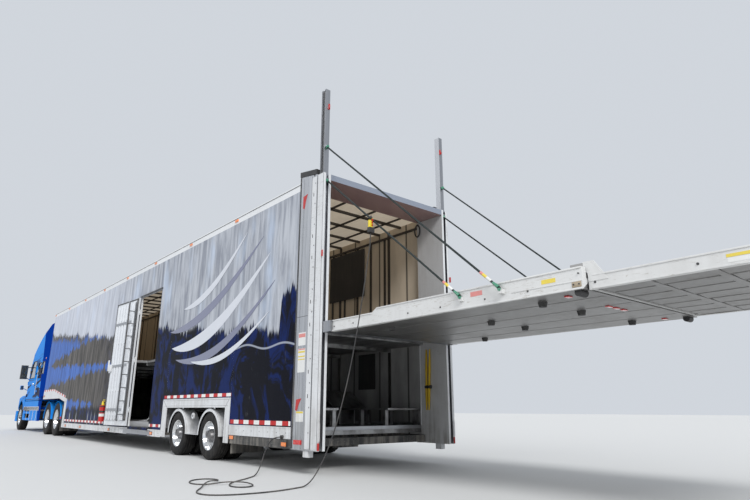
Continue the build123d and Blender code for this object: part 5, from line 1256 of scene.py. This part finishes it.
class TRANSPORTER_OT_interior(bpy.types.Operator):
    """Fits the roof purlins, wall strips, rubber pads, straps and the ring inside the tail"""
    bl_idname = "transporter.interior"
    bl_label = "Inside the trailer"

    def execute(self, context):
        kit = Kit("trailer", roof_purlins="bow", wall_strips="bow", wall_pads="black_plastic",
                  tail_sills="ladder_metal")
        for width in (1.02, 0.40, -0.24, -0.82):
            kit.blocks("roof_purlins", ((width - 0.016, width + 0.016), (0.05, 15.9), (4.022, 4.049), 0.003))
        for index in range(29):
            station = 0.97 + index * 0.41
            beside_door = 5.40 < station < 6.80
            for _, side in SIDES:
                if side < 0 or not beside_door:
                    kit.blocks("wall_strips", ((side * 1.2540, side * 1.2450), (station - 0.03, station + 0.03),
                                               (1.93, 3.95), 0.002))
        kit.pairs("wall_strips", ((1.2300, 1.2540), (0.05, 15.9), (3.925, 3.965), 0.003))
        kit.blocks("wall_pads", ((-1.232, -1.216), (1.55, 2.68), (2.93, 3.89), 0.006),
                   ((-1.232, -1.216), (1.22, 1.70), (1.16, 1.80), 0.006))
        kit.pairs("tail_sills", ((1.2380, 1.2530), (0.02, 1.80), (0.564, 0.600), 0.003))
        kit.blocks("tail_sills", ((-1.16, 1.16), (-0.002, 0.018), (0.520, 0.572), 0.004))
        kit.build()
        hung = Kit("trailer", smooth=50, hanging_straps="webbing", lining_ring="black_plastic")
        for station, lean in ((-0.26, 0.05), (-0.18, 0.02)):
            line = [spot(-1.138, station + lean * index / 6, 1.76 - index * 0.16) for index in range(7)]
            tube(hung["hanging_straps"], line, [0.010, 0.018, 0.022, 0.019, 0.023, 0.020, 0.012], 10)
        tube(hung["lining_ring"], [spot(-1.138, -0.15, 1.16), spot(-1.138, -0.27, 1.16)], 0.030, 12)
        turns = [math.tau * step / 28 for step in range(29)]
        loop = [spot(-1.150, -0.02 + 0.062 * math.cos(turn), 3.85 + 0.105 * math.sin(turn)) for turn in turns]
        tube(hung["lining_ring"], loop, 0.012, 10, capped=False)
        hung.blocks("lining_ring", ((-1.163, -1.148), (-0.045, 0.005), (3.945, 3.975), 0.003))
        hung.build()
        return {"FINISHED"}


# The side door's hinge line, as width and station, and the turn in degrees that opens the door.
DOOR_HINGE = (1.305, 6.750)
DOOR_TURN = -176
# Stations and heights of its four seals.
DOOR_SEALS = (((6.655, 6.738), (0.568, 3.326)), ((5.462, 5.492), (0.568, 3.326)),
              ((5.462, 6.738), (3.296, 3.326)), ((5.462, 6.738), (0.568, 0.598)))


class TRANSPORTER_OT_side_door(bpy.types.Operator):
    """Fits the open side door with its ribbed liner, seals, rounded edge and latch"""
    bl_idname = "transporter.side_door"
    bl_label = "Side door"

    def execute(self, context):
        dress_where("side_door", "livery", lambda place, normal: place.x < 1.32 and normal.x < -0.7)
        # The fittings are laid out on the shut door and then turned with it.
        kit = Kit("side_door", smooth=40, side_door_liner="door_white", side_door_seal="black_frame",
                  side_door_latch="rail_white", side_door_plates="ladder_metal")
        for index in range(6):
            station = 5.53 + index * 0.165
            kit.blocks("side_door_liner", ((1.2345, 1.2545), (station, station + 0.120), (0.568, 3.24), 0.008))
        tube(kit["side_door_liner"], [spot(1.238, 6.585, 0.575 + 2.70 * index / 8) for index in range(9)], 0.030, 20)
        for stations, heights in DOOR_SEALS:
            kit.blocks("side_door_seal", ((1.2465, 1.2548), stations, heights, 0.002))
        kit.blocks("side_door_latch", ((1.185, 1.2345), (5.50, 5.64), (1.68, 1.82), 0.010),
                   ((1.160, 1.190), (5.53, 5.56), (1.70, 1.95), 0.006))
        for height in (0.80, 1.80, 2.80):
            kit.blocks("side_door_plates", ((1.2300, 1.2350), (5.56, 6.48), (height - 0.03, height + 0.03), 0.002))
        turn = Matrix.Rotation(math.radians(DOOR_TURN), 3, "Z")
        for mesh in kit.meshes.values():
            bmesh.ops.rotate(mesh, cent=spot(*DOOR_HINGE, 0), matrix=turn, verts=mesh.verts)
        kit.build()
        return {"FINISHED"}


# Rubber feet under the platform, as widths and stations.
PLATFORM_FEET = ((0.90, -3.754), (0.175, -3.738), (0.304, -2.668), (-0.359, -2.666), (-0.90, -3.754), (0.90, -1.60),
                 (-0.90, -1.60))
# Stations of the outer deck's beams, and the tilted slats between them.
DECK_BEAMS = (-4.400, -4.820, -5.310, -5.800, -6.290, -6.655)
SLAT_WIDTHS = (-0.948, -0.632, -0.316, 0.0, 0.316, 0.632, 0.948)
BEAM_GAP = 0.034


class TRANSPORTER_OT_platform(bpy.types.Operator):
    """Fits the platform and the outer deck with lips, blank labels, rubber feet, rollers, lamps and slats"""
    bl_idname = "transporter.platform"
    bl_label = "Platform"

    def execute(self, context):
        kit = Kit("platform", smooth=40, platform_lips="platform_white", platform_brackets="bracket_tan",
                  platform_bolts="black_frame", platform_labels_yellow="label_yellow",
                  platform_labels_pink="label_pink", platform_feet="black_plastic", platform_lamps="lamp_red",
                  platform_seams="platform_metal")
        kit.pairs("platform_lips", ((1.198, 1.212), (-4.345, -0.74), (1.801, 1.817), 0.003),
                  ((1.198, 1.208), (-4.345, -1.66), (1.983, 1.999), 0.003),
                  ((1.198, 1.208), (-1.56, -0.74), (1.934, 1.949), 0.003),
                  ((1.199, 1.204), (-4.345, -3.62), (1.872, 1.884), 0.001))
        kit.pairs("platform_brackets", ((1.199, 1.206), (-4.338, -4.250), (1.822, 1.872), 0.003))
        kit.pairs("platform_labels_yellow", ((1.2002, 1.2014), (-4.094, -3.950), (1.900, 1.940)))
        kit.pairs("platform_labels_pink", ((1.2002, 1.2014), (-3.270, -3.120), (1.910, 1.958)))
        kit.pairs("platform_lamps", ((0.96, 1.03), (-4.110, -4.060), (1.788, 1.799), 0.003))
        for width in (0.232, 0.085, -0.073):
            kit.blocks("platform_lamps", ((width - 0.045, width + 0.045), (-4.092, -4.050), (1.788, 1.799), 0.004))
        for width in (-0.75, -0.25, 0.25, 0.75):
            kit.blocks("platform_seams", ((width - 0.02, width + 0.02), (-4.30, -0.80), (1.7975, 1.7998), 0.0008))
        for _, side in SIDES:
            for station, height in ((-4.268, 1.847), (-4.320, 1.847), (-4.320, 1.940)):
                bolt(kit["platform_bolts"], spot(side * 1.208, station, height), SIDEWAYS, 0.008, 0.008)
            for station in (-0.80, -1.20, -2.20, -2.70, -3.30, -3.80):
                bolt(kit["platform_bolts"], spot(side * 1.2015, station, 1.862), SIDEWAYS, 0.010, 0.008, 10)
            tube(kit["platform_feet"], [spot(side * 1.06, -4.285, 1.784), spot(side * 1.17, -4.285, 1.784)], 0.036, 20)
        for width, station in PLATFORM_FEET:
            bmesh.ops.create_cone(kit["platform_feet"], cap_ends=True, segments=24, radius1=0.036, radius2=0.046,
                                  depth=0.046, matrix=Matrix.Translation(spot(width, station, 1.7765)))
        kit.build()
        deck = Kit("outer_deck", outer_ribs="platform_metal", outer_beams="platform_metal",
                   outer_lips="platform_white", outer_labels="label_yellow", outer_labels_white="label_white",
                   outer_bolts="black_frame")
        for near, far in zip(DECK_BEAMS, DECK_BEAMS[1:]):
            start, end = near - BEAM_GAP, far + BEAM_GAP
            for width in SLAT_WIDTHS:
                outline = [spot(width + 0.128, start, 1.8195), spot(width - 0.128, start, 1.8120),
                           spot(width - 0.128, start, 1.8075), spot(width + 0.128, start, 1.8150)]
                prism(deck["outer_ribs"], outline, (0, start - end, 0))
                deck.blocks("outer_ribs", ((width - 0.1340, width - 0.1285), (start, end), (1.803, 1.8195), 0.001))
        for station in DECK_BEAMS[1:-1]:
            deck.blocks("outer_beams", ((-1.078, 1.078), (station - 0.03, station + 0.03), (1.806, 1.8875), 0.003))
        deck.blocks("outer_lips", ((-1.100, 1.100), (-4.381, -4.368), (1.804, 1.822), 0.002))
        deck.pairs("outer_lips", ((1.118, 1.128), (-6.70, -4.40), (1.801, 1.816), 0.003),
                   ((1.118, 1.126), (-6.70, -4.40), (1.914, 1.929), 0.003))
        deck.pairs("outer_labels", ((1.1202, 1.1216), (-5.590, -5.430), (1.866, 1.890)))
        deck.pairs("outer_labels_white", ((1.1202, 1.1212), (-5.585, -5.435), (1.828, 1.862)))
        for _, side in SIDES:
            for station in (-4.420, -5.236, -6.05):
                bolt(deck["outer_bolts"], spot(side * 1.1215, station, 1.858), SIDEWAYS, 0.012, 0.008)
        deck.build()
        return {"FINISHED"}


def cushion(mesh, width, station, height, crown, axis):
    """A padded block with rounded edges, crowned along one axis (0 across, 1 along, 2 up)."""
    block = bmesh.new()
    bmesh.ops.create_cube(block, size=2.0)
    bmesh.ops.subdivide_edges(block, edges=block.edges, cuts=9, use_grid_fill=True)
    low = Vector((min(width), REAR_END - max(station), min(height)))
    high = Vector((max(width), REAR_END - min(station), max(height)))
    middle, half = (low + high) / 2, (high - low) / 2
    for vertex in block.verts:
        place = vertex.co.copy()
        for index in range(3):
            others = [place[other] for other in range(3) if other != index]
            pull = 0.10 * sum(value ** 6 for value in others)
            vertex.co[index] = place[index] * (1 - pull) * half[index]
            if index == axis and abs(place[index]) > 0.99:
                swell = (1 - others[0] ** 4) * (1 - others[1] ** 4)
                channel = 0.25 * math.exp(-(abs(others[0]) - 0.55) ** 2 / 0.004)
                vertex.co[index] += math.copysign(crown, place[index]) * (swell - channel * swell)
        vertex.co += middle
    data = bpy.data.meshes.new("cushion_block")
    block.to_mesh(data)
    block.free()
    mesh.from_mesh(data)
    bpy.data.meshes.remove(data)


def gasket(mesh, points, face, thickness, width):
    """A frame along a closed outline of (station, height) points, on a face at a distance from the centre line."""
    count = len(points)
    centre = Vector((sum(s for s, _ in points) / count, sum(z for _, z in points) / count))
    for index in range(count):
        (s0, z0), (s1, z1) = points[index], points[(index + 1) % count]
        corners = [Vector((s0, z0)), Vector((s1, z1))]
        inner = [corner + (centre - corner).normalized() * width * 1.3 for corner in corners]
        side_plate(mesh, [tuple(corners[0]), tuple(corners[1]), tuple(inner[1]), tuple(inner[0])], face, thickness)


def fit_seats():
    """Two cushioned seats on ribbed bases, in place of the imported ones."""
    pads, bases = bmesh.new(), bmesh.new()
    for _, side in SIDES:
        across, narrow = (side * 0.30, side * 0.82), (side * 0.42, side * 0.70)
        cushion(pads, across, (18.66, 19.15), (1.490, 1.610), 0.028, 2)
        cushion(pads, across, (18.53, 18.648), (1.560, 2.080), 0.022, 1)
        cushion(pads, narrow, (18.545, 18.640), (2.095, 2.265), 0.014, 1)
    for fold in range(5):
        inset, low = 0.012 * (fold % 2), 1.166 + fold * 0.0645
        both(bases, (0.42 + inset, 0.70 - inset), (18.70 + inset, 19.05 - inset), (low, low + 0.063), 0.010)
    seats = piece("seat_cushions", pads, "tractor", "cloth_seat", ["seats"], smooth=60)
    piece("seat_bases", bases, "tractor", "black_plastic", ["seats"])


def fit_cab_door(name, side):
    """A door's mirror glass, window gasket, belt strip and handle."""
    body = f"cab_door_{name}"
    dress_where(body, "black_plastic", lambda place, normal: abs(place.x) > 1.235)
    panes, trims, handles = bmesh.new(), bmesh.new(), bmesh.new()
    for heights in ((2.135, 2.455), (1.975, 2.105)):
        bar(panes, (side * 1.335, side * 1.525), (19.552, 19.561), heights, 0.003)
    bar(trims, (side * 1.318, side * 1.542), (19.655, 19.690), (1.965, 2.465), 0.014)
    bar(trims, (side * 1.322, side * 1.538), (19.553, 19.561), (2.108, 2.132), 0.002)
    bar(trims, (side * CAB_FACE, side * 1.194), (18.66, 19.72), (1.885, 1.900), 0.001)
    gasket(trims, [(18.69, 1.96), (19.69, 1.96), (19.33, 2.62), (18.69, 2.62)], side * CAB_FACE, 0.004, 0.026)
    bar(handles, (side * CAB_FACE, side * 1.226), (18.70, 18.86), (1.735, 1.760), 0.006)
    bar(handles, (side * CAB_FACE, side * 1.196), (18.68, 18.88), (1.700, 1.775), 0.004)
    piece(f"mirror_glass_{name}", panes, body, "window")
    piece(f"door_trim_{name}", trims, body, "black_plastic")
    piece(f"door_handle_{name}", handles, body, "chrome")


class TRANSPORTER_OT_cab(bpy.types.Operator):
    """Finishes the cab: cushioned seats, mirrors, gaskets, wipers, handles and roof lamps"""
    bl_idname = "transporter.cab"
    bl_label = "Cab"

    def execute(self, context):
        fit_seats()
        for name, side in SIDES:
            fit_cab_door(name, side)
        kit = Kit("tractor", smooth=40, cab_trim="black_plastic", cab_roof_lamps="lamp", cab_lamp_feet="chrome",
                  cab_grab_rails="chrome")
        kit.pairs("cab_trim", ((CAB_FACE, 1.1935), (17.00, 19.78), (1.158, 1.174), 0.001))
        for height in (1.40, 1.78, 2.16):
            kit.pairs("cab_grab_rails", ((CAB_FACE, 1.2300), (17.985, 18.015), (height, height + 0.02), 0.004))
        for _, side in SIDES:
            for s0, s1 in ((17.18, 17.64), (17.80, 18.26)):
                gasket(kit["cab_trim"], run_rectangle(s0, s1, 2.06, 2.52), side * CAB_FACE, 0.005, 0.024)
            bolt(kit["cab_roof_lamps"], spot(side * 1.194, 17.10, 2.62), SIDEWAYS, 0.030, 0.012, 20)
            rail = [spot(side * 1.228, 18.0, 1.36 + 0.22 * index) for index in range(5)]
            tube(kit["cab_grab_rails"], rail, 0.014, 12)
        # The wipers lie just off the windscreen.
        arm_lift, blade_lift = Vector((0, -0.022, 0.020)), Vector((0, -0.020, 0.018))
        for width in (-0.62, 0.12):
            foot = spot(width, 19.925, 1.975) + arm_lift
            tip = spot(width + 0.56, 19.640, 2.455) + arm_lift
            tube(kit["cab_trim"], [foot, foot.lerp(tip, 0.55), tip], [0.012, 0.009, 0.007], 8)
            blade = [spot(width + 0.22, 19.80, 2.175) + blade_lift, spot(width + 0.86, 19.62, 2.475) + blade_lift]
            tube(kit["cab_trim"], blade, 0.008, 8)
        for width in (-0.92, -0.46, 0.0, 0.46, 0.92):
            kit.blocks("cab_lamp_feet", ((width - 0.065, width + 0.065), (19.405, 19.468), (2.900, 2.925), 0.008))
            kit.blocks("cab_roof_lamps", ((width - 0.050, width + 0.050), (19.410, 19.480), (2.915, 2.955), 0.012))
        kit.build()
        return {"FINISHED"}


class TRANSPORTER_OT_front(bpy.types.Operator):
    """Finishes the hood and the bumper: grille, lamps, hood mirrors, blank plate and step covers"""
    bl_idname = "transporter.front"
    bl_label = "Hood, bumper and steps"

    def execute(self, context):
        hood = Kit("hood", smooth=40, grille_mesh="chrome", grille_rim="chrome", hood_mirrors="azure",
                   hood_mirror_glass="window", hood_vent_shade="black_plastic")
        for index in range(17):
            width = -0.416 + index * 0.052
            hood.blocks("grille_mesh", ((width - 0.004, width + 0.004), (21.792, 21.806), (0.940, 1.345), 0.001))
        for index in range(12):
            height = 0.950 + index * 0.035
            hood.blocks("grille_mesh", ((-0.43, 0.43), (21.792, 21.800), (height - 0.0025, height + 0.0025)))
        hood.pairs("grille_rim", ((0.445, 0.462), (21.832, 21.843), (0.905, 1.375), 0.003))
        for heights in ((0.903, 0.918), (1.362, 1.377)):
            hood.blocks("grille_rim", ((-0.462, 0.462), (21.832, 21.843), heights, 0.003))
        hood.pairs("hood_mirrors", ((1.225, 1.345), (20.420, 20.500), (1.560, 1.730), 0.030))
        hood.pairs("hood_mirror_glass", ((1.240, 1.330), (20.414, 20.421), (1.578, 1.712), 0.003))
        for _, side in SIDES:
            arm = [spot(side * width, 20.46, height) for width, height in ((0.90, 1.440), (1.12, 1.560), (1.27, 1.640))]
            tube(hood["hood_mirrors"], arm, 0.011, 10)
        # The vents are thin black plates: painted shade in their openings.
        for index in range(5):
            station = 20.42 + index * 0.075
            hood.pairs("hood_vent_shade", ((1.1895, 1.1920), (station, station + 0.045), (1.115, 1.145), 0.001))
        # A black sheet just behind the grille mesh is painted shade in the opening.
        hood.blocks("hood_vent_shade", ((-0.438, 0.438), (21.786, 21.790), (0.930, 1.352), 0.001))
        hood.build()
        front = Kit("tractor", smooth=40, blank_plate="label_white", bumper_frames="black_plastic",
                    fog_lamps="lens", step_covers="bright_trim", step_ribs="hub_grey", tank_straps="bright_trim",
                    fender_lamps="lamp_red")
        front.blocks("blank_plate", ((-0.152, 0.152), (21.906, 21.909), (0.470, 0.622), 0.001))
        front.blocks("bumper_frames", ((-0.165, 0.165), (21.900, 21.907), (0.458, 0.634), 0.002),
                     ((-0.52, 0.52), (21.8985, 21.9035), (0.352, 0.420), 0.002))
        turns = [math.tau * step / 24 for step in range(25)]
        for _, side in SIDES:
            ring = [spot(side * 0.60 + 0.062 * math.cos(turn), 21.904, 0.54 + 0.062 * math.sin(turn)) for turn in turns]
            tube(front["bumper_frames"], ring, 0.007, 8, capped=False)
            bolt(front["fog_lamps"], spot(side * 0.60, 21.905, 0.54), REARWARD, 0.056, 0.014, 24)
        front.pairs("step_covers", ((CAB_FACE, 1.1980), (17.06, 19.93), (0.765, 0.900), 0.002))
        for index in range(36):
            station = 17.10 + index * 0.080
            front.pairs("step_ribs", ((1.1975, 1.2010), (station, station + 0.034), (0.780, 0.885), 0.001))
        for station in (17.35, 17.95, 18.55, 19.15):
            front.pairs("tank_straps", ((CAB_FACE, 1.1960), (station, station + 0.055), (0.405, 0.765), 0.001))
        front.pairs("fender_lamps", ((1.165, 1.236), (13.432, 13.446), (0.520, 0.585), 0.004))
        front.build()
        return {"FINISHED"}


class TRANSPORTER_OT_fittings(bpy.types.Operator):
    """Adds the small fittings of the extinguisher and the hand control"""
    bl_idname = "transporter.fittings"
    bl_label = "Small fittings"

    def execute(self, context):
        kit = Kit("trailer", smooth=40, extinguisher_bands="black_plastic", extinguisher_label="label_white",
                  extinguisher_valve="pendant_yellow", extinguisher_hose="cord_rubber")
        width, station = 1.380, 8.5
        for name, heights, radius, sides in (
                ("extinguisher_bands", (0.730, 0.775), 0.0725, 28), ("extinguisher_bands", (0.860, 0.885), 0.0715, 28),
                ("extinguisher_label", (0.640, 0.705), 0.0712, 28),
                ("extinguisher_valve", (0.905, 0.960, 1.000), (0.034, 0.034, 0.020), 16)):
            tube(kit[name], [spot(width, station, height) for height in heights], radius, sides)
        kit.blocks("extinguisher_valve", ((width - 0.014, width + 0.014), (8.40, 8.56), (0.990, 1.006), 0.004),
                   ((width - 0.012, width + 0.012), (8.38, 8.52), (1.022, 1.036), 0.004))
        bend = [spot(width, 8.52 + 0.07 * math.sin(math.pi * step / 10), 0.965 - 0.036 * step) for step in range(11)]
        tube(kit["extinguisher_hose"], bend, 0.010, 10)
        kit.build()
        grip, buttons = bmesh.new(), bmesh.new()
        bar(grip, (1.205, 1.288), (-1.624, -1.576), (2.950, 3.020), 0.006)
        tube(grip, [spot(1.2465, -1.60, 3.146), spot(1.2465, -1.60, 3.175)], [0.020, 0.010], 12)
        for height, radius in ((3.045, 0.011), (3.078, 0.011), (3.112, 0.014)):
            bolt(buttons, spot(1.2465, -1.624, height), REARWARD, radius, 0.012, 16)
        piece("control_grip", grip, "lift", "black_plastic")
        piece("control_buttons", buttons, "lift", "safety_red", smooth=40)
        return {"FINISHED"}


OPERATORS = (
    TRANSPORTER_OT_finishes, TRANSPORTER_OT_stage, TRANSPORTER_OT_lead, TRANSPORTER_OT_wheels, TRANSPORTER_OT_trim,
    TRANSPORTER_OT_artwork, TRANSPORTER_OT_rigging, TRANSPORTER_OT_posts, TRANSPORTER_OT_interior,
    TRANSPORTER_OT_side_door, TRANSPORTER_OT_platform, TRANSPORTER_OT_cab, TRANSPORTER_OT_front,
    TRANSPORTER_OT_fittings,
)
SETTINGS = (("transporter_artwork", ArtworkColours), ("transporter_stage", StageSettings),
            ("transporter_cord", CordSettings), ("transporter_wheels", WheelSettings))


class TRANSPORTER_PT_panel(bpy.types.Panel):
    """Lists the steps that dress the transporter"""
    bl_label = "Transporter"
    bl_idname = "TRANSPORTER_PT_panel"
    bl_space_type = "VIEW_3D"
    bl_region_type = "UI"
    bl_category = "Transporter"

    def draw(self, context):
        for group, _ in SETTINGS:
            settings = getattr(context.scene, group)
            for key in settings.bl_rna.properties.keys():
                if key not in ("rna_type", "name"):
                    self.layout.prop(settings, key)
        for operator in OPERATORS:
            self.layout.operator(operator.bl_idname)


def register():
    """Registers the settings, the steps and their panel."""
    for name, group in SETTINGS:
        bpy.utils.register_class(group)
        setattr(bpy.types.Scene, name, PointerProperty(type=group))
    for operator in OPERATORS:
        bpy.utils.register_class(operator)
    bpy.utils.register_class(TRANSPORTER_PT_panel)


def unregister():
    """Takes all of it out again."""
    bpy.utils.unregister_class(TRANSPORTER_PT_panel)
    for operator in reversed(OPERATORS):
        bpy.utils.unregister_class(operator)
    for name, group in reversed(SETTINGS):
        delattr(bpy.types.Scene, name)
        bpy.utils.unregister_class(group)


def main():
    """Dresses the part step by step."""
    register()
    for operator in OPERATORS:
        group, step = operator.bl_idname.split(".")
        getattr(getattr(bpy.ops, group), step)()


if __name__ == "__main__":
    main()
